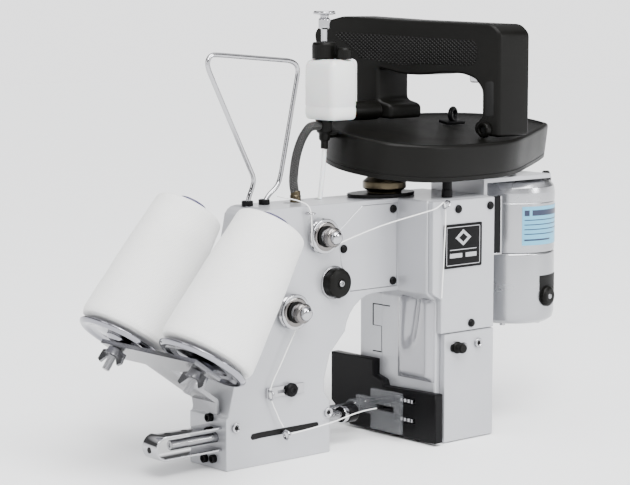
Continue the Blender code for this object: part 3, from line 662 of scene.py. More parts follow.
def socket_screw(machine: Machine, name: str, at: Array, out: Array, radius: float, tall: float,
                 finish: Finish, body: str = "machine") -> None:
    """Add a socket head screw: a knurled turned head with a dark hexagon sunk in its face as painted shade of
    the socket.

    Args:
        machine: The machine it goes on.
        name: The screw's name.
        at: Middle of the head's seat.
        out: Unit direction out of the surface.
        radius: The head's radius.
        tall: The head's height.
        finish: The head's finish.
        body: The body it rides on.
    """
    out = np.asarray(out, float)
    head = revolve(name, [(radius, 0.02), (radius, tall), (radius * 0.62, tall), (radius * 0.5, tall * 0.55)],
                   at, out, 40, 0.35, flutes=20, depth=0.12, band=(0.3, tall - 0.5))
    machine.fit(head, finish, body=body)
    first, second = side_axes(np.asarray(out, float))
    basis = Basis(tuple(at), tuple(first), tuple(second), tuple(out))
    # The socket is a black hexagon laid in the head: painted shade of the recess.
    hexagon = slab(f"{name}_socket", arc((0, 0), radius * 0.48, 0, 300, 5), tall * 0.5, tall * 0.66, 0.05,
                   basis, 1)
    machine.fit(hexagon, BLACK_PAINT_AND_SHADE, body=body)


@dataclass
class Housing:
    """The painted casting, its covers and their screws."""

    machine: Machine
    column_face: float = -40.0
    back_of_arm: float = 46.0
    back_of_column: float = 58.0

    def build(self) -> None:
        """Dress the casting and covers, and add screws, holes and the maker's plate."""
        for node in ("frame_casting", "arm_front_cover", "column_upper_cover", "column_lower_cover"):
            self.machine.dress(node, SILVER)
        self.screws()
        self.clamps()
        self.slot()
        self.column_side()
        self.plate()
        self.holes()
        LOG.info("housing dressed")

    def screws(self) -> None:
        """Add the black button heads and the bright socket heads."""
        dome = [(3.5, 0.0), (3.4, 1.0), (2.6, 1.9), (1.5, 2.3)]
        face = self.column_face - GAP
        places = {"cover_screw_1": (174, -GAP, 191.5), "cover_screw_2": (174, -GAP, 132.5),
                  "cover_screw_3": (209, face, 192)}
        loose = {"cover_screw_4": (246, face, 192.5), "cover_screw_5": (120, -GAP, 163),
                 "cover_screw_6": (225, face, 97)}
        for name, at in {**places, **loose}.items():
            piece = revolve(f"{name}_head", dome, at, -Y, 36, 0.5)
            self.machine.fit(piece, BLACK_PAINT_AND_SHADE, *([name] if name in places else []))
            # The drive is a black hexagon on the dome: painted shade of its recess.
            slot = revolve(f"{name}_drive", [(1.4, 2.2), (1.4, 2.36)], at, -Y, 6, 0.05)
            self.machine.fit(slot, MOULDING_AND_SHADE)
        for index, at in enumerate(((9.2, 0, 33.2), (103.5, 0, 32.6), (233, face, 79.6))):
            socket_screw(self.machine, f"socket_screw_{index}", np.array(at, float), -Y, 4.0, 2.0, CHROME)
        column = [(x, self.back_of_column, z) for z in (186, 96, 14) for x in (202, 240)]
        arm = [(x, self.back_of_arm, z) for x, z in ((24, 20), (88, 20), (62, 178), (160, 178))]
        for index, at in enumerate(column + arm):
            socket_screw(self.machine, f"back_screw_{index}", np.array(at, float), Y, 3.4, 2.0, BLACK_PAINT_AND_SHADE)

    def clamps(self) -> None:
        """Add the black cap screws on the leg's end, which clamp the guard and the bars."""
        for index, (y, z, tall) in enumerate(((26.0, 6.5, 3.5), (15.0, 8.0, 3.5), (19.0, 40.0, 4.5))):
            socket_screw(self.machine, f"clamp_screw_{index}", np.array((0.3, y, z)), -X, 3.4, tall, BLACK_PAINT_AND_SHADE)

    def slot(self) -> None:
        """Fill the take-up slot with black sheets, painted shade of the opening, with rounded ends and a step
        at its outer end.
        """
        corners = np.array(((25.4, 21.6), (34, 22.1), (92.6, 22.2), (93.6, 24.0), (92.6, 25.9), (34, 26.0),
                            (25.4, 25.6), (24.2, 23.6)))
        shape = round_corners(corners, 1.4, 4)
        self.machine.fit(slab("slot_painted_shade", shape, 1.0, 4.0, 0.1), MATT_BLACK_AND_SHADE)
        front_shade_outline = inset(shape, np.array((-0.5,)))[0]
        self.machine.fit(slab("slot_front_shade", front_shade_outline, -0.06, 0.4, 0.04, steps=1), MATT_BLACK_AND_SHADE)

    def plate(self) -> None:
        """Add the black maker's plate with a plain bright border and ruled lines."""
        face = self.column_face
        plate = slab("plate_blank", rectangle(192.5, 144, 236, 180, 1.5), face - 1.1, face - 0.32, 0.25)
        self.machine.fit(plate, BLACK_PAINT_AND_SHADE, "name_plate")
        marks = [(195, 146.2, 233.5, 146.8), (195, 177.2, 233.5, 177.8), (195, 146.2, 195.6, 177.8),
                 (232.9, 146.2, 233.5, 177.8), (199, 158.6, 229.5, 159.3), (199, 152.4, 213, 156.0),
                 (217, 152.4, 229.5, 156.0)]
        for index, (left, low, right, high) in enumerate(marks):
            shape = rectangle(left, low, right, high, 0.2)
            mark = slab(f"plate_rule_{index}", shape, face - 1.2, face - 1.0, 0.05, steps=1)
            self.machine.fit(mark, CHROME)
        turn = np.radians(np.array((0.0, 90.0, 180.0, 270.0)))
        for index, (wide, tall) in enumerate(((9.0, 6.6), (5.0, 3.6))):
            shape = np.stack((214.2 + wide * np.cos(turn), 168.6 + tall * np.sin(turn)), -1)
            mark = slab(f"plate_lozenge_{index}", shape, face - 1.18 - 0.04 * index, face - 1.0, 0.02,
                        steps=1)
            self.machine.fit(mark, CHROME if index == 0 else BLACK_PAINT_AND_SHADE)

    def column_side(self) -> None:
        """Dress the column's throat side: the pressed shield above the throat plate and the door's seams.

        The shield stands off the face by a height that falls to zero at its rim: a product of two
        smooth steps, less a dip that runs down from the arm as the thread's channel.
        """
        rows, columns = 41, 37
        z = np.linspace(50.0, 122.0, rows)[:, None]
        y = np.linspace(-33.0, 10.0, columns)[None, :]
        edge = np.clip((y + 33.0) / 5.0, 0, 1) * np.clip((10.0 - y) / 9.0, 0, 1)
        ends = np.clip((z - 50.0) / 5.0, 0, 1) * np.clip((124.0 - z) / 8.0, 0, 1)
        rim = edge * edge * (3 - 2 * edge) * ends
        valley = np.exp(-(((y + 9.0 + 0.16 * (z - 88.0)) / 6.5) ** 2)) / (1.0 + np.exp((80.0 - z) / 4.0))
        proud = 5.5 * rim * (1.0 - 0.95 * valley) + 0.05
        face = np.stack(np.broadcast_arrays(190.0 - proud, y, z), -1)
        back = np.stack(np.broadcast_arrays(190.6 + 0 * proud, y, z), -1)
        section = np.concatenate((face, back[:, ::-1]), 1)
        self.machine.fit(skin("column_shield", section), SHIELD)
        door = 190.98
        runs = [((190, 20, 107.4), (190, 29.9, 107.2), 0.5), ((door, 30.1, 107.2), (door, 41.5, 107), 0.5),
                ((door, 41.5, 107), (door, 41.5, 89), 0.5), ((door, 41.5, 89), (door, 31, 89), 0.25),
                ((door, 31, 89), (door, 31, 67), 0.25), ((door, 31, 67.2), (door, 41.5, 67), 0.5)]
        for index, (start, stop, thick) in enumerate(runs):
            self.machine.fit(tube(f"door_seam_{index}", np.linspace(start, stop, 4), thick, 6, X), MATT_BLACK_AND_SHADE)

    def holes(self) -> None:
        """Add black discs at the tapped holes: painted shade inside the holes."""
        places = (((124, 36, ARM_TOP), Z, 2.6), ((85, 28, ARM_TOP), Z, 3.2), ((108, 38, ARM_TOP), Z, 2.0),
                  ((7.2, 10, 58), -X, 3.4), ((186.6, -21, 77), -X, 1.7))
        for index, (at, out, radius) in enumerate(places):
            profile = [(radius, -0.2), (radius, 0.06)]
            hole_shade = revolve(f"hole_painted_shade_{index}", profile, np.array(at, float), out, 28, 0.02)
            self.machine.fit(hole_shade, BLACK_PAINT_AND_SHADE)


@dataclass
class Studio:
    """Camera, lights and the pale floor."""

    machine: Machine
    eye: tuple[float, float, float] = (-0.9861, -1.2035, 0.3626)
    pitch: float = 83.0
    heading: float = -41.0
    lens: float = 114.3
    daylight: float = 6.0
    room: float = 2.2

    def build(self) -> None:
        """Place the camera, the lights and the floor."""
        data = bpy.data.cameras.new("view")
        data.lens = self.lens
        data.sensor_width = 36.0
        data.clip_end = 50.0
        camera = bpy.data.objects.new("view", data)
        camera.location = self.eye
        camera.rotation_euler = (math.radians(self.pitch), 0.0, math.radians(self.heading))
        bpy.context.scene.collection.objects.link(camera)
        bpy.context.scene.camera = camera
        self.lamp("key", (-1.1, -1.4, 1.5), 0.5, 30.0)
        self.lamp("side", (-1.8, 0.1, 0.9), 0.6, 7.0)
        self.lamp("strip", (0.9, -1.6, 0.7), 0.35, 12.0)
        data = bpy.data.lights.new("sky", "SUN")
        data.energy = self.daylight
        data.angle = math.radians(50.0)
        sky = bpy.data.objects.new("sky", data)
        sky.rotation_euler = Vector((0.12, 0.62, -1.0)).to_track_quat("-Z", "Y").to_euler()
        bpy.context.scene.collection.objects.link(sky)
        self.surround()
        self.floor()
        LOG.info("studio set")

    def surround(self) -> None:
        """Light the room: white at the horizon and overhead, and dark between for the metal to mirror."""
        world = bpy.data.worlds.new("studio")
        world.use_nodes = True
        tree = world.node_tree
        place = tree.nodes.new("ShaderNodeTexCoord")
        split = tree.nodes.new("ShaderNodeSeparateXYZ")
        tree.links.new(place.outputs["Generated"], split.inputs["Vector"])
        ramp = tree.nodes.new("ShaderNodeValToRGB")
        tree.links.new(split.outputs["Z"], ramp.inputs["Fac"])
        stops = [(0.0, 1.0), (0.12, 1.0), (0.24, 0.06), (0.5, 0.06), (0.72, 0.7)]
        while len(ramp.color_ramp.elements) < len(stops):
            ramp.color_ramp.elements.new(0.5)
        for element, (at, level) in zip(ramp.color_ramp.elements, stops):
            element.position = at
            element.color = (level, level, level * 1.01, 1.0)
        tree.links.new(ramp.outputs["Color"], tree.nodes["Background"].inputs["Color"])
        tree.nodes["Background"].inputs["Strength"].default_value = self.room
        bpy.context.scene.world = world

    def lamp(self, name: str, place: tuple[float, float, float], size: float, power: float) -> None:
        """Add a square soft lamp that looks at the middle of the machine."""
        data = bpy.data.lights.new(name, "AREA")
        data.size = size
        data.energy = power
        lamp = bpy.data.objects.new(name, data)
        lamp.location = place
        gaze = Vector((0.1, 0.0, 0.17)) - Vector(place)
        lamp.rotation_euler = gaze.to_track_quat("-Z", "Y").to_euler()
        bpy.context.scene.collection.objects.link(lamp)

    def floor(self) -> None:
        """Add the floor: one flat square, each corner the middle plus or minus half its side."""
        half, low = 6000.0, -0.2
        corners = np.array(((-half, -half, low), (half, -half, low), (half, half, low), (-half, half, low)))
        mesh = bpy.data.meshes.new("studio_floor")
        mesh.from_pydata(to_frame(corners).tolist(), [], [(0, 1, 2, 3)])
        floor = bpy.data.objects.new("studio_floor", mesh)
        bpy.context.scene.collection.objects.link(floor)
        paper = Finish("pale_floor", (0.86, 0.865, 0.87), 0.75, 0.0, Pattern.POLISHED, 0.004, 0.0)
        floor.data.materials.append(paper.make())


@dataclass
class Threads:
    """The three sewing threads, each a taut free cord of its own length."""

    machine: Machine
    diameter: float = 1.0

    def build(self) -> None:
        """Lay the looper thread, the needle thread and its lower length."""
        about = arc((95.3, 175.6), 13.1, 180, 300, 7)
        disc = [(float(x), -5.3, float(z)) for x, z in about]
        looper = [(75, 28, 206), (79, 6, 203.5), (81.3, -3.4, 199), (82.2, -5.2, 187), *disc,
                  (108, -5.8, 168), (140, -23, 182), (178, -42, 193.5), (191.5, -42.4, 196.5),
                  (191.3, -42.2, 160), (189.5, -41.6, 121)]
        needle = [(66, -4.8, 104), (52, -4.4, 80), (41, -3.6, 58), (48, -4.2, 38), (53.5, -4.4, 28.4)]
        low = [(60.5, -6.4, 22.4), (85, -5.4, 23.6), (108, -3.5, 25), (130, 1, 26.6), (148, 7, 26.2),
               (160, 11, 25.4), (168, 12.2, 25)]
        for name, guides, steps in (("looper_thread", looper, 6), ("needle_thread", needle, 8),
                                    ("needle_thread_low", low, 8)):
            path = smooth_route(guides, steps)
            piece = tube(f"{name}_strand", path, self.diameter / 2, 8)
            self.machine.fit(piece, THREAD, name)


@dataclass
class NeedleSide:
    """Needle bar, clamp, needle, guard, presser, looper and feed."""

    machine: Machine
    needle_at: tuple[float, float] = (14.0, 25.0)
    presser_at: tuple[float, float] = (34.0, 25.0)

    def build(self) -> None:
        """Replace the turned pieces and finish the flat ones."""
        y, z = self.needle_at
        bar = [(1.2, -43.2), (1.6, -44.0), (3.4, -44.0), (4.0, -43.4), (4.0, -30.0), (3.85, -29.9),
               (3.85, -29.5), (4.0, -29.4), (4.0, 145.4), (3.4, 146.0)]
        self.machine.fit(revolve("needle_bar_rod", bar, (0, y, z), X, 40, 0.1), TURNED, "needle_bar")
        clamp = [(4.3, 0.0), (6.5, 0.0), (6.5, 5.5), (7.5, 6.2), (7.5, 14.5), (6.0, 16.0), (4.3, 16.0)]
        piece = revolve("needle_clamp_nut", clamp, (129, y, z), X, 48, 0.4, ring=True, flutes=24, depth=0.35,
                        band=(7.0, 14.0))
        self.machine.fit(piece, BLACK_PAINT_AND_SHADE, "needle_clamp")
        ring = revolve("needle_clamp_ring", [(6.7, 1.0), (6.7, 5.0), (6.3, 5.4), (6.3, 0.6)], (129, y, z), X,
                       48, 0.3, ring=True)
        self.machine.fit(ring, CHROME, body="needle_carriage")
        needle = [(1.0, 0.0), (1.0, 12.0), (0.8, 13.0), (0.8, 22.0), (0.5, 28.0), (0.05, 31.0)]
        self.machine.fit(revolve("needle_blade", needle, (146.3, y, z), X, 20, 0.1), CHROME, "needle")
        half = 8.6
        bend = arc((-53.5, z), half, 270, 90, 36)
        path = np.concatenate(([(-0.4, z - half), (-27.0, z - half)], bend,
                               [(-27.0, z + half), (-0.4, z + half)]))
        line = np.column_stack((path[:, 0], np.full(len(path), y), path[:, 1]))
        strip = round_corners(np.array(((-0.95, -9), (0.95, -9), (0.95, 9), (-0.95, 9))), 0.5, 3)
        self.machine.fit(sweep("bar_guard_strip", line, strip, Y), CHROME, "bar_guard")
        # Black discs where the guard's holes are: painted shade of the holes.
        for index, across in enumerate((-46.0, -30.0)):
            hole_shade = [(2.6, -0.15), (2.6, 0.08)]
            hole = revolve(f"bar_guard_hole_shade_{index}", hole_shade, (across, y, z + 9.55), Z, 32, 0.02)
            self.machine.fit(hole, MATT_BLACK_AND_SHADE)
        hole = revolve("bar_guard_end_hole_shade", [(2.4, -0.15), (2.4, 0.08)], (-63.05, y, z - 1.0), -X, 32, 0.02)
        self.machine.fit(hole, MATT_BLACK_AND_SHADE)
        y, z = self.presser_at
        rod = [(2.9, 22.0), (3.5, 22.6), (3.5, 164.4), (2.9, 165.0)]
        self.machine.fit(revolve("presser_bar_rod", rod, (0, y, z), X, 36, 0.1), TURNED, "presser_bar")
        self.machine.refine("presser_foot", CLEAR, 0.5)
        self.machine.refine("throat_plate", BLACK_PAINT_AND_SHADE)
        self.machine.refine("looper", STEEL, 0.3)
        self.machine.refine("take_up_eyelet", CHROME, 0.0)
        self.feed()
        LOG.info("needle side built")

    def feed(self) -> None:
        """Add the feed dog: a block with two saw-toothed rows.

        A row's outline runs along Y, and every second point of its front edge stands a tooth out.
        """
        body = slab("feed_block", rectangle(-20, 13, 2, 37, 0.8), 190.6, 194.0, 0.4, SIDE)
        self.machine.fit(body, STEEL, "feed_dog")
        run = np.linspace(-1.0, -17.0, 16)
        edge = np.array((182.3, 180.85, 180.85, 182.3))[np.arange(16) % 4]
        teeth = np.concatenate((((192.0, -17.0), (192.0, -1.0)), np.stack((edge, run), -1)))
        for index, low in enumerate((15.5, 31.5)):
            row = slab(f"feed_teeth_{index}", teeth, low, low + 3.0, 0.12, PLAN, 1)
            self.machine.fit(row, STEEL, body="feed")


@dataclass
class Drive:
    """Main shaft, bearing, pulleys and belt."""

    machine: Machine
    shaft: tuple[float, float] = (185.0, 22.0)
    motor: tuple[float, float] = (322.0, 8.0)
    shaft_groove: float = 32.0
    motor_groove: float = 9.0
    belt_low: float = 225.0
    belt_high: float = 231.0
    belt_lift: float = 1.3

    def build(self) -> None:
        """Turn the shaft, the bush and the pulleys and run the belt."""
        x, y = self.shaft
        shaft = [(5.2, 180.0), (6.0, 180.8), (6.0, 238.2), (5.2, 239.0)]
        self.machine.fit(revolve("main_shaft_rod", shaft, (x, y, 0), Z, 40, 0.2), TURNED, "main_shaft")
        bush = [(6.6, 0.0), (14.0, 0.0), (14.0, 3.8), (18.0, 6.2), (18.0, 11.8), (12.6, 16.6), (6.6, 17.0)]
        piece = revolve("shaft_bush", bush, (x, y, ARM_TOP + GAP), Z, 72, 0.8, ring=True)
        self.machine.fit(piece, BRASS, "shaft_bearing")
        self.machine.refine("bearing_seat", BLACK_PAINT_AND_SHADE)
        low, high = self.belt_low - GAP, self.belt_high + GAP
        for name, centre, groove, bore in (("drive_pulley", self.shaft, self.shaft_groove, 6.3),
                                           ("motor_pulley", self.motor, self.motor_groove, 3.0)):
            rim = groove + 4
            web = (groove * 0.82, groove * 0.45)
            section = [(bore, low - 3), (web[1], low - 3), (web[1] + 0.8, low), (web[0], low),
                       (web[0] + 0.8, low - 3), (rim, low - 3), (rim, low), (groove, low + 0.3),
                       (groove, high - 0.3), (rim, high), (rim, high + 3), (bore, high + 3)]
            piece = revolve(f"{name}_wheel", section, (*centre, 0), Z, 72, 0.3, ring=True)
            self.machine.fit(piece, STEEL, name)
        stub = [(3.6, 208.4), (4.0, 208.8), (4.0, high + 3.4), (3.4, high + 4)]
        self.machine.fit(revolve("motor_shaft_stub", stub, (*self.motor, 0), Z, 28, 0.2), TURNED,
                         body="motor_rotor")
        self.belt()
        LOG.info("drive built")

    def belt(self) -> None:
        """Carry the belt's ribbed strip round both pulleys: two arcs joined by their common tangents."""
        big, small = np.array(self.shaft), np.array(self.motor)
        run = small - big
        heading = math.degrees(math.atan2(run[1], run[0]))
        lean = math.degrees(math.acos((self.shaft_groove - self.motor_groove) / float(np.linalg.norm(run))))
        near = arc(tuple(big), self.shaft_groove + self.belt_lift, heading + lean, heading + 360 - lean, 60)
        far = arc(tuple(small), self.motor_groove + self.belt_lift, heading - lean, heading + lean, 28)
        flat = np.concatenate((near, far))
        line = np.column_stack((flat, np.full(len(flat), 0.5 * (self.belt_low + self.belt_high))))
        section = round_corners(np.array(((-1.0, -3.0), (1.0, -3.0), (1.0, 3.0), (-1.0, 3.0))), 0.4, 2)
        self.machine.fit(sweep("belt_strip", line, section, Z, closed=True), RUBBER, "drive_belt")


@dataclass
class Motor:
    """The upright motor with its bell, brush caps, label and bracket."""

    machine: Machine
    centre: tuple[float, float] = (322.0, 8.0)
    radius: float = 37.5

    def build(self) -> None:
        """Turn the two shells and add the fittings."""
        r = self.radius
        at = (*self.centre, 0)
        top = [(16, 208), (26, 208), (33, 206.2), (36.6, 202), (r, 197), (r, 190), (r - 0.4, 189.6),
               (r - 0.4, 188.8), (r, 188.4), (r, 147.2), (r - 0.7, 146.2)]
        self.machine.fit(revolve("motor_shell", top[::-1], at, Z, 96, 0.6), SHELL, "motor_housing")
        bell = [(r - 0.7, 145.6), (r, 144.8), (r, 93), (36.2, 88), (32, 85), (26, 84), (20, 84), (19, 85.5),
                (8, 85.5)]
        self.machine.fit(revolve("motor_bell", bell, at, Z, 96, 0.8), SHELL, "motor_end_bell")
        heading = unit(np.array((0.152, -0.988, 0.0)))
        for sign in (1.0, -1.0):
            self.brush(np.array((*self.centre, 108.0)) + sign * heading * 33, sign * heading, sign > 0)
        self.label()
        for index, angle in enumerate((-62.0, 28.0, 118.0, 208.0)):
            turn = math.radians(angle)
            out = np.array((math.cos(turn), math.sin(turn), 0.0))
            seat = np.array((*self.centre, 84.6)) + out * 24.0
            socket_screw(self.machine, f"bell_screw_{index}", seat, -Z, 2.6, 2.2, CHROME)
        self.machine.refine("motor_bracket", SILVER, 0.5)
        flange = slab("motor_flange", rectangle(252.4, 152, 260.8, 199, 0.8), -37.5, -33.5, 0.4)
        self.machine.fit(flange, BLACK_PAINT_AND_SHADE)
        edge = np.array(((252.4, 150.4), (262.6, 150.4), (262.6, 199.2), (260.9, 199.2), (260.9, 151.9),
                         (252.4, 151.9)))
        self.machine.fit(slab("motor_flange_edge", edge, -38.0, -33.0, 0.3), CHROME)
        gland = [(4.6, 0.0), (4.6, 4.0), (3.4, 5.0), (3.4, 8.0), (2.2, 9.0)]
        piece = revolve("motor_gland", gland, (346, -10, 204.5), Z, 32, 0.5, flutes=8, depth=0.5,
                        band=(0.3, 3.8))
        self.machine.fit(piece, MOULDING_AND_SHADE)
        LOG.info("motor built")

    def brush(self, seat: Array, out: Array, stands: bool) -> None:
        """Add a brush holder's collar and its slotted cap."""
        cap = [(9.0, 0.3), (9.0, 6.3), (8.0, 7.8), (6.0, 8.8), (2.6, 8.8), (2.2, 8.2)]
        name = "brush_cap_front" if stands else "brush_cap_back"
        piece = revolve(name, cap, seat, out, 48, 0.6, flutes=16, depth=0.35, band=(3.4, 6.6))
        self.machine.fit(piece, MOULDING_AND_SHADE, *(["brush_cap"] if stands else []))
        slot = revolve(f"{name}_slot", [(2.4, 8.1), (2.4, 8.6), (1.8, 9.0)], seat, out, 24, 0.2)
        self.machine.fit(slot, TURNED)

    def label(self) -> None:
        """Add the label, its ruled lines and a black strip as painted shade of the brush recess, each a thin
        strip round the shell.
        """
        patches = [("label_sheet", 0.12, 16.5, 169.5, (-122.0, -30.0), LABEL),
                   ("label_band", 0.2, 2.4, 180.5, (-108.0, -44.0), LABEL_BAND),
                   ("label_square", 0.2, 2.4, 180.5, (-119.0, -112.0), LABEL_BAND),
                   ("label_rule_0", 0.2, 0.4, 174.5, (-119.0, -36.0), LABEL_BAND),
                   ("label_rule_1", 0.2, 0.4, 170.5, (-119.0, -50.0), LABEL_BAND),
                   ("label_rule_2", 0.2, 0.4, 166.5, (-119.0, -36.0), LABEL_BAND),
                   ("label_rule_3", 0.2, 0.4, 162.5, (-119.0, -64.0), LABEL_BAND),
                   ("label_rule_4", 0.2, 0.7, 157.5, (-119.0, -76.0), LABEL_BAND),
                   # The brush recess is a black strip on the shell: painted shade.
                   ("brush_recess_shade", 0.25, 11.0, 115.2, (-95.0, -50.0), MATT_BLACK_AND_SHADE)]
        for name, proud, half, height, (start, stop), finish in patches:
            flat = arc(self.centre, self.radius + proud, start, stop, 40)
            line = np.column_stack((flat, np.full(len(flat), height)))
            section = np.array(((-0.15, -half), (0.15, -half), (0.15, half), (-0.15, half)))
            self.machine.fit(sweep(name, line, section, Z), finish)


@dataclass
class BeltCover:
    """The tilted black cover over the pulleys, its post and its lifting eye."""

    machine: Machine
    front: float = -36.5
    base: float = 214.0
    tall: float = 30.0
    tilt: float = 9.0

    def basis(self) -> Basis:
        """Axes of the cover, tipped up at the back about its lower front edge."""
        turn = math.radians(self.tilt)
        c, s = math.cos(turn), math.sin(turn)
        origin = (0.0, self.front * (1 - c) + self.base * s, self.base * (1 - c) - self.front * s)
        return Basis(origin, (1, 0, 0), (0, c, s), (0, -s, c))

    def build(self) -> None:
        """Make the shell ring by ring, then the post and the eye."""
        plan = [(202, self.front), (250, self.front), (280, -31.5), (310, -18), (368, 14), (375, 26),
                (372, 44), (358, 60), (330, 75), (290, 83), (246, 86), (200, 84), (172, 77), (151, 61),
                (139.5, 36), (139.5, 12), (151, -13), (174, -30)]
        outline = smooth_route(plan, 8, closed=True)
        rings = [(2.5, 27.4), (2.5, 0.5), (2.0, 0.0), (0.4, 0.0), (0.0, 0.4), (0.0, 3.6), (0.35, 3.9),
                 (0.35, 4.4), (0.0, 4.7), (0.0, 26.8), (0.3, 28.3), (1.0, 29.4), (2.2, 30.0), (4.4, 30.0),
                 (4.8, 29.3), (5.4, 29.2), (7.0, 29.2)]
        move, rise = np.array(rings).T
        flat = inset(outline, move)
        grid = self.basis().place(flat, np.repeat((self.base + rise)[:, None], flat.shape[1], 1))
        self.machine.fit(skin("belt_cover_shell", grid), MOULDING_AND_SHADE, "belt_cover")
        post = [(4.5, 0.0), (4.5, 6.0), (4.0, 6.4), (4.0, 34.0), (4.5, 34.5), (4.5, 40.6)]
        self.machine.fit(revolve("cover_post_rod", post, (212, -24, 200.4), Z, 36, 0.4), BLACK_PAINT_AND_SHADE, "cover_post")
        self.eye()
        LOG.info("belt cover built")

    def eye(self) -> None:
        """Add the lifting eye: a ring turned on a flat foot, with black discs as painted shade of its fixing
        holes.
        """
        basis = self.basis()
        top = self.base + self.tall
        foot = slab("lifting_eye_foot", rectangle(262, 32, 284, 44, 2.0), top + 0.3, top + 2.8, 0.6, basis)
        self.machine.fit(foot, BLACK_PAINT_AND_SHADE, "lifting_eye")
        centre = basis.place(np.array(((273.0, 38.0),)), np.array((top + 8.0,)))[0]
        axis = unit(np.array((0.3, -1.0, 0.0)))
        section = arc((4.8, 0.0), 2.1, 0, 360, 20)[:-1]
        ring = revolve("lifting_eye_ring", [tuple(p) for p in section], centre, axis, 64, 0.1, ring=True)
        self.machine.fit(ring, BLACK_PAINT_AND_SHADE)
        # The fixing holes are black discs: painted shade of the holes.
        for index, (x, y) in enumerate(((262.0, 22.0), (285.0, 18.0), (232.0, -8.0), (330.0, 30.0))):
            at = basis.place(np.array(((x, y),)), np.array((top - 0.85,)))[0]
            hole_shade = revolve(f"cover_hole_shade_{index}", [(2.2, 0.0), (2.2, 0.14)], at, np.array(basis.out), 28,
                            0.03)
            self.machine.fit(hole_shade, BLACK_PAINT_AND_SHADE)


@dataclass
class Handle:
    """The moulded carrying handle with its start button and ribbed grip."""

    machine: Machine
    depth: float = 36.0

    def build(self) -> None:
        """Extrude the handle's profile along the machine and dress both sides."""
        profile = [(0, 246.4), (22, 249.4), (22, 258), (15.5, 263), (15.5, 286), (22, 295.5), (34, 299.5),
                   (52, 299.3), (70, 297.5), (86, 298.2), (106, 303.5), (106, 276), (94, 272), (94, 259.8),
                   (126, 264), (126, 309.6), (150, 314), (162, 321), (164, 332), (157, 341.5), (138, 346.6),
                   (87, 343.4), (7, 340.2), (0, 333)]
        shape = round_corners(np.array(profile), 4.0, 5)
        self.machine.fit(slab("handle_body", shape, 0, self.depth, 2.4, ON_HANDLE, 5), MOULDING_AND_SHADE, "handle")
        panel = [(145, 330.5), (140, 333), (22.4, 326.7), (19, 320.6), (19.7, 310), (24.8, 305.7),
                 (65.5, 307), (86.5, 305.8), (122, 311.3), (126.5, 318)]
        shape = round_corners(np.array(panel), 3.0, 4)
        for index, (low, high) in enumerate(((-0.5, 0.4), (self.depth - 0.4, self.depth + 0.5))):
            self.machine.fit(slab(f"handle_grip_{index}", shape, low, high, 0.35, ON_HANDLE), GRIP)
        # A black sheet on the leg: painted shade of its recess.
        leg = rectangle(5.2, 264, 12.2, 293, 2.0)
        self.machine.fit(slab("handle_leg_recess_shade", leg, -0.12, 0.3, 0.1, ON_HANDLE, 1), MATT_BLACK_AND_SHADE)
        button = rectangle(24, 291.4, 35, 303.6, 2.5)
        self.machine.fit(slab("start_button_cap", button, 12, 24, 1.2, ON_HANDLE), CHROME, "start_button")
        self.pivots()
        LOG.info("handle built")

    def pivots(self) -> None:
        """Add the pivot boss by the front leg, with a black disc as painted shade of its socket, and the
        hinge barrel under the back leg.
        """
        at = HANDLE_CORNER + 12.0 * HANDLE_RUN + 253.0 * Z
        boss = [(6.6, 0.0), (6.6, 3.4), (5.8, 4.4), (3.4, 4.4), (3.2, 2.2)]
        self.machine.fit(revolve("pivot_boss", boss, at, -X, 48, 0.6), MOULDING_AND_SHADE)
        # The socket is a black disc: painted shade of its recess.
        socket = revolve("pivot_socket_shade", [(3.0, 2.2), (3.0, 2.6)], at, -X, 6, 0.05)
        self.machine.fit(socket, MATT_BLACK_AND_SHADE)
        back = HANDLE_CORNER + 104.0 * HANDLE_RUN + 268.0 * Z
        barrel = [(7.0, -6.0), (8.0, -5.0), (8.0, 24.0), (7.0, 25.4), (3.0, 25.4), (2.8, 24.6)]
        self.machine.fit(revolve("hinge_barrel", barrel, back - 10.0 * X, -X, 56, 0.6), MOULDING_AND_SHADE)


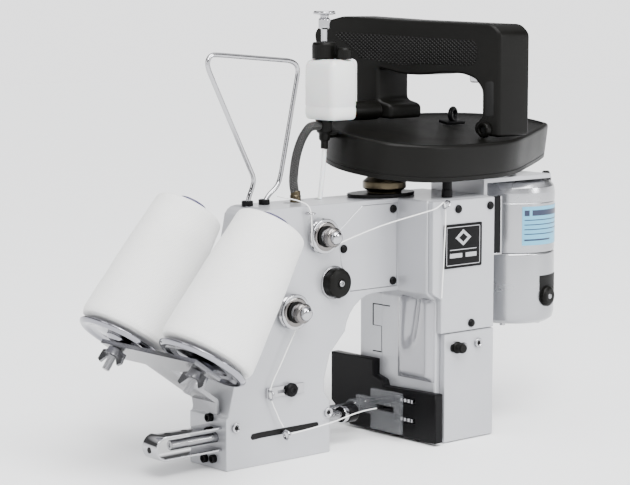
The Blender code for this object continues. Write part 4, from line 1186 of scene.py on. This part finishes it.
@dataclass
class OilPump:
    """Bottle, caps, plunger, nozzle, pipe and braided hose."""

    machine: Machine
    axis: tuple[float, float] = (127.0, 31.0)
    shoulder: float = 313.0

    def build(self) -> None:
        """Build the pump from the nozzle up."""
        x, y = self.axis
        nozzle = [(3.0, 0.0), (3.0, 6.0), (4.5, 7.5), (4.5, 12.0), (6.5, 14.0), (6.5, 21.0), (7.5, 23.2)]
        piece = revolve("bottle_nozzle_body", nozzle, (x, y, 241.1), Z, 40, 0.6)
        self.machine.fit(piece, MOULDING_AND_SHADE, "bottle_nozzle")
        line = np.array([(across, y, 252.0) for across in (x, 133, 139, 143.4)])
        self.machine.fit(tube("bottle_nozzle_arm", line, 2.6, 20), MOULDING_AND_SHADE)
        self.bottle()
        cap = [(10.0, 0.0), (10.0, 11.2), (9.0, 13.4), (5.6, 13.5), (5.2, 12.6)]
        seat = self.shoulder + GAP
        piece = revolve("bottle_cap_ribbed", cap, (x, y, seat), Z, 96, 0.8, flutes=32, depth=0.5,
                        band=(0.8, 10.6))
        self.machine.fit(piece, MOULDING_AND_SHADE, "bottle_cap")
        filler = [(6.2, 0.0), (6.2, 7.2), (5.2, 9.0)]
        piece = revolve("filler_cap_ribbed", filler, (133, 14, seat), Z, 72, 0.8, flutes=22, depth=0.35,
                        band=(0.6, 6.6))
        self.machine.fit(piece, MOULDING_AND_SHADE, "filler_cap")
        plunger = [(2.6, 300.0), (2.6, 337.0), (4.8, 338.0), (4.8, 345.0), (3.4, 346.0), (3.4, 348.0),
                   (9.0, 349.0), (9.0, 350.6), (8.0, 351.5)]
        self.machine.fit(revolve("plunger_rod", plunger, (x, y, 0), Z, 48, 0.5), CHROME, "plunger")
        pipe = smooth_route([(127, 31, 240.6), (126, 31, 228), (125, 32, 214), (124, 33, 200.5)], 10)
        self.machine.fit(tube("oil_pipe_tube", pipe, 1.9, 16), PIPE, "oil_pipe")
        hose = smooth_route([(92, 26, 200.8), (91.8, 26, 206), (90, 26, 218), (91, 24, 236), (95, 22, 250),
                             (104, 24, 258.5), (112.5, 28, 260), (120, 30, 260)], 12)
        self.machine.fit(tube("braided_hose_sleeve", hose, 3.6, 24), BRAID, "braided_hose")
        ferrule = [(4.6, 0.0), (4.6, 5.0), (4.1, 5.6), (4.1, 8.4), (3.7, 9.0)]
        piece = revolve("hose_ferrule", ferrule, (91.95, 26, 200.5), Z, 40, 0.4, flutes=6, depth=0.5,
                        band=(0.3, 4.8))
        self.machine.fit(piece, BRASS)
        LOG.info("oil pump built")

    def bottle(self) -> None:
        """Make the bottle from rings of a rounded rectangle, which move in at the foot and the shoulder."""
        ring = round_corners(np.array(((114, 6), (142, 6), (142, 43), (114, 43))), 7.0, 8)
        rings = [(4.0, 264.8), (2.0, 265.2), (0.6, 266.6), (0.0, 269.0), (0.0, 274.0), (0.35, 274.6),
                 (0.35, 276.0), (0.0, 276.6), (0.0, 305.0), (0.5, 308.6), (2.2, 311.4), (4.6, 312.7),
                 (6.0, self.shoulder)]
        move, rise = np.array(rings).T
        flat = inset(ring, move)
        grid = PLAN.place(flat, np.repeat(rise[:, None], flat.shape[1], 1))
        self.machine.fit(skin("oil_bottle_shell", grid), BOTTLE, "oil_bottle")


@dataclass
class Tensions:
    """Thread tensions, stitch dial, latch knob and the thread guides."""

    machine: Machine
    seats: tuple[tuple[float, float], ...] = ((95.3, 175.6), (64.1, 118.6))
    dial_at: tuple[float, float, float] = (109.5, -GAP, 137.0)
    latch_at: tuple[float, float, float] = (208.0, -40.0 - GAP, 78.5)
    latch_pin: tuple[float, float, float] = (216.0, -40.0 - GAP, 78.5)

    def build(self) -> None:
        """Build both tensions, the dial, the latch and the guides."""
        for index, (x, z) in enumerate(self.seats, 1):
            self.tension(index, np.array((x, -GAP, z)))
        self.dial()
        self.latch()
        self.guides()
        LOG.info("tensions built")

    def dial(self) -> None:
        """Add the lobed stitch dial on its collar, with a screw in its middle."""
        at = self.dial_at
        dial = [(11.6, 1.0), (12.4, 2.0), (12.4, 6.8), (11.2, 8.6), (8.0, 9.4), (3.6, 9.5), (3.2, 8.7)]
        piece = revolve("stitch_dial_knob", dial, at, -Y, 120, 0.9, flutes=9, depth=0.9, band=(1.4, 8.0))
        collar = [(13.4, 0.0), (13.4, 0.7), (12.6, 1.2), (4.0, 1.2), (4.0, 0.0)]
        self.machine.fit(revolve("stitch_dial_collar", collar, at, -Y, 72, 0.3, ring=True), STEEL)
        self.machine.fit(piece, MOULDING_AND_SHADE, "stitch_dial")
        screw = [(2.6, 8.6), (2.6, 10.4), (2.1, 10.9), (1.3, 10.9), (1.2, 10.0)]
        piece = revolve("stitch_dial_screw", screw, at, -Y, 32, 0.2)
        self.machine.fit(piece, TURNED, body=self.machine.home["stitch_dial"])

    def latch(self) -> None:
        """Add the latch: a black sheet as painted shade of its slot, with a knurled knob at one end and a
        bright pin at the other.
        """
        # The slot is a black sheet on the face: painted shade.
        slot_shade_outline = rectangle(201.0, 75.3, 219.0, 81.7, 3.0)
        self.machine.fit(slab("latch_slot_shade", slot_shade_outline, -40.75, -40.25, 0.1), MATT_BLACK_AND_SHADE)
        knob = [(5.0, 0.7), (5.0, 2.2), (4.2, 2.8), (4.2, 7.6), (3.6, 8.8)]
        piece = revolve("latch_knob_grip", knob, self.latch_at, -Y, 72, 0.4, flutes=24, depth=0.35,
                        band=(3.0, 7.2))
        self.machine.fit(piece, MOULDING_AND_SHADE, "latch_knob")
        pin = [(2.7, 0.5), (2.7, 2.6), (2.2, 3.0), (1.2, 3.0), (1.2, 0.5)]
        ring = revolve("latch_ring", pin, self.latch_pin, -Y, 48, 0.2, ring=True)
        self.machine.fit(ring, CHROME, body=self.machine.home["latch_knob"])

    def tension(self, index: int, at: Array) -> None:
        """Add a tension: dished discs, a black ring as painted shade in the groove between them, a felt
        washer, a coil spring and a knurled nut with its dome.

        The spring's centre line is a helix: the post's axis plus a radius that narrows along it.
        """
        body = self.machine.home[f"tension_discs_{index}"]
        discs = [(2.4, 0.9), (5.0, 0.6), (5.0, 2.2), (9.0, 2.3), (13.6, 2.4), (14.0, 3.0), (12.9, 4.4),
                 (12.9, 5.4), (14.0, 6.9), (13.6, 7.5), (9.0, 7.6), (6.0, 8.4), (2.4, 8.4)]
        piece = revolve(f"tension_{index}_discs", discs, at, -Y, 72, 0.3, ring=True)
        self.machine.fit(piece, CHROME, f"tension_discs_{index}")
        hollow = [(11.6, 7.3), (11.6, 7.9), (10.4, 8.2), (3.0, 8.2), (3.0, 7.3)]
        felt = [(8.6, 8.0), (8.6, 9.0), (3.0, 9.0), (3.0, 8.0)]
        # The black ring between the discs is painted shade in their groove.
        disc_groove_shade = [(12.0, 4.6), (12.95, 4.6), (12.95, 5.2), (12.0, 5.2)]
        for name, section, steps, corner, finish in (("hollow", hollow, 60, 0.2, NICKEL),
                                                     ("felt", felt, 48, 0.2, MATT_BLACK_AND_SHADE),
                                                     ("disc_groove_shade", disc_groove_shade, 60, 0.05, MATT_BLACK_AND_SHADE)):
            piece = revolve(f"tension_{index}_{name}", section, at, -Y, steps, corner, ring=True)
            self.machine.fit(piece, finish, body=body)
        coils, points = 4.0, 161
        turn = np.linspace(0, 2 * math.pi * coils, points)
        radius = np.linspace(6.0, 4.6, points)
        climb = np.linspace(8.6, 12.6, points)
        coil = at + np.stack((radius * np.cos(turn), -climb, radius * np.sin(turn)), -1)
        self.machine.fit(tube(f"tension_{index}_spring", coil, 0.55, 8, -Y), TURNED, body=body)
        nut = [(2.4, 12.6), (7.9, 12.6), (7.9, 17.0), (6.9, 18.2), (5.4, 18.4), (5.4, 20.4), (4.8, 21.0),
               (2.4, 21.0)]
        piece = revolve(f"tension_{index}_nut", nut, at, -Y, 72, 0.3, ring=True, flutes=26, depth=0.4,
                        band=(13.0, 16.6))
        self.machine.fit(piece, NICKEL, f"tension_nut_{index}")
        dome = [(5.5, 18.3), (5.5, 20.4), (4.2, 22.2), (2.0, 23.0)]
        piece = revolve(f"tension_{index}_nut_dome", dome, at, -Y, 40, 0.6)
        self.machine.fit(piece, CHROME, body=self.machine.home[f"tension_nut_{index}"])

    def guides(self) -> None:
        """Add the slotted guide plate, its screw, the thread hook and the column eyelet."""
        self.machine.refine("thread_guide", CHROME, 0.3)
        dome = [(5.6, 0.0), (5.6, 2.4), (4.4, 3.6), (1.9, 3.9), (1.7, 3.0)]
        self.machine.fit(revolve("guide_screw", dome, (63, -2.1, 56.5), -Y, 32, 0.5), BLACK_PAINT_AND_SHADE)
        eye = arc((3.4, 0.0), 0.8, 0, 360, 12)[:-1]
        places = (("guide_eyelet", (41, -4.0, 55.0), X), ("thread_hook", (81.6, -4.4, 194.5), Z),
                  ("column_eyelet", (191.6, -44.2, 196.8), unit(np.array((0.8, 0.0, -0.6)))))
        for name, at, axis in places:
            ring = revolve(name, [tuple(p) for p in eye], np.array(at), axis, 36, 0.05, ring=True)
            self.machine.fit(ring, CHROME)
        stems = (("guide_eyelet_stem", (41, 0.0, 55.0), (41, -0.9, 55.0)),
                 ("thread_hook_stem", (81.6, 2.0, 194.5), (81.6, -1.3, 194.5)),
                 ("column_eyelet_stem", (196.0, -40.0, 199.0), (194.0, -42.6, 198.4)))
        for name, start, stop in stems:
            self.machine.fit(tube(name, np.linspace(start, stop, 5), 1.2, 16), CHROME)


@dataclass
class ThreadStand:
    """The bent wire stand over the arm."""

    machine: Machine
    wire: float = 1.9
    across: float = 30.0
    feet: tuple[float, float] = (46.0, 63.0)

    def build(self) -> None:
        """Carry the wire's section round the stand's rounded route."""
        left, right = self.feet
        route = [(left, 185), (left, 201), (47.5, 207), (51, 214), (53, 221), (12, 300), (7.5, 309),
                 (7.5, 314.5), (11, 318.5), (17, 318.5), (90, 312.5), (96, 310), (98.5, 305), (97, 298),
                 (80, 222), (77, 214), (67, 207), (right, 201), (right, 185)]
        flat = round_corners(np.array(route, float), 5.0, 6, closed=False)
        line = np.column_stack((flat[:, 0], np.full(len(flat), self.across), flat[:, 1]))
        self.machine.fit(tube("thread_stand_wire", line, self.wire, 20, Y), CHROME, "thread_stand")
        collar = [(4.6, 0.0), (4.6, 3.6), (4.0, 4.2), (2.1, 4.2), (2.1, 0.0)]
        for index, foot in enumerate(self.feet):
            at = (foot, self.across, ARM_TOP + 0.2)
            self.machine.fit(revolve(f"stand_collar_{index}", collar, at, Z, 36, 0.4, ring=True), BLACK_PAINT_AND_SHADE)
        LOG.info("thread stand built")


@dataclass
class ThreadCones:
    """Two wound cones on their dishes, with wing nuts and the bracket."""

    machine: Machine
    foot_radius: float = 36.8
    top_radius: float = 27.9
    wound: float = 103.0

    def build(self) -> None:
        """Wind both cones and add their hardware."""
        for index, base in enumerate(CONE_BASES, 1):
            self.cone(index, base)
        self.machine.refine("spool_bracket", STEEL, 0.5)
        LOG.info("cones built")

    def cone(self, index: int, base: Array) -> None:
        """Add one cone: yarn, core, pressed pan, bolt and wing nut.

        The yarn's radius narrows evenly from foot to top, plus half a sine that bulges its middle
        and a faint faster sine for the layers of its winding.
        """
        along = np.linspace(0.0, 1.0, 29)
        swell = 0.5 * np.sin(math.pi * along) + 0.12 * np.sin(13.0 * along)
        radius = self.foot_radius + (self.top_radius - self.foot_radius) * along + swell
        side = np.stack((radius, self.wound * along - 1.0), -1)
        outline = [(20.4, -6.0), (31.5, -6.0), (35.6, -4.4), *map(tuple, side), (27.2, 104.8), (24.4, 106.8),
                   (12.4, 106.2)]
        yarn = revolve(f"cone_{index}_yarn", outline, base, CONE_AXIS, 128, 0.9)
        self.machine.fit(yarn, YARN, f"thread_cone_{index}")
        core = [(17.2, -8.0), (20.0, -8.0), (11.6, 111.6), (11.0, 112.0), (9.8, 111.6), (9.6, 107.0)]
        piece = revolve(f"cone_{index}_core", core, base, CONE_AXIS, 72, 0.3, ring=True)
        self.machine.fit(piece, CORE, f"cone_core_{index}")
        pan = [(3.4, -8.4), (15.0, -8.4), (21.5, -8.4), (26.0, -9.6), (32.5, -9.9), (34.8, -8.9),
               (35.6, -9.6), (34.9, -11.4), (32.6, -13.0), (29.6, -12.6), (26.0, -11.3), (20.5, -10.6),
               (12.0, -11.2), (9.0, -13.6), (3.4, -13.8)]
        piece = revolve(f"dish_{index}_pan", pan, base, CONE_AXIS, 96, 0.6, ring=True)
        self.machine.fit(piece, DISH, f"spool_dish_{index}")
        post = [(15.2, -8.3), (15.2, 9.0), (9.0, 13.6), (6.0, 14.0)]
        piece = revolve(f"dish_{index}_post", post, base, CONE_AXIS, 48, 0.5)
        self.machine.fit(piece, MOULDING_AND_SHADE)
        turns = np.arange(-35.6, -15.0, 0.5)
        ridge = 3.05 + 0.22 * np.where(np.arange(len(turns)) % 2 == 0, 1.0, -1.0)
        bolt = [(2.4, -36.0), *zip(ridge, turns), (3.1, -14.0)]
        piece = revolve(f"dish_{index}_bolt", bolt, base, CONE_AXIS, 28, 0.02)
        self.machine.fit(piece, TURNED)
        self.machine.refine(f"wing_nut_{index}", STEEL)


def main(frame: dict) -> None:
    """Build every sub-assembly in order."""
    logging.basicConfig(level=logging.INFO, format="%(name)s %(message)s")
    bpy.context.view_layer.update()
    machine = Machine(frame)
    for builder in (Studio, Threads, Housing, NeedleSide, Drive, Motor, BeltCover, Handle, OilPump, Tensions,
                    ThreadStand, ThreadCones):
        builder(machine).build()


if __name__ == "__main__":
    main(frame=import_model())
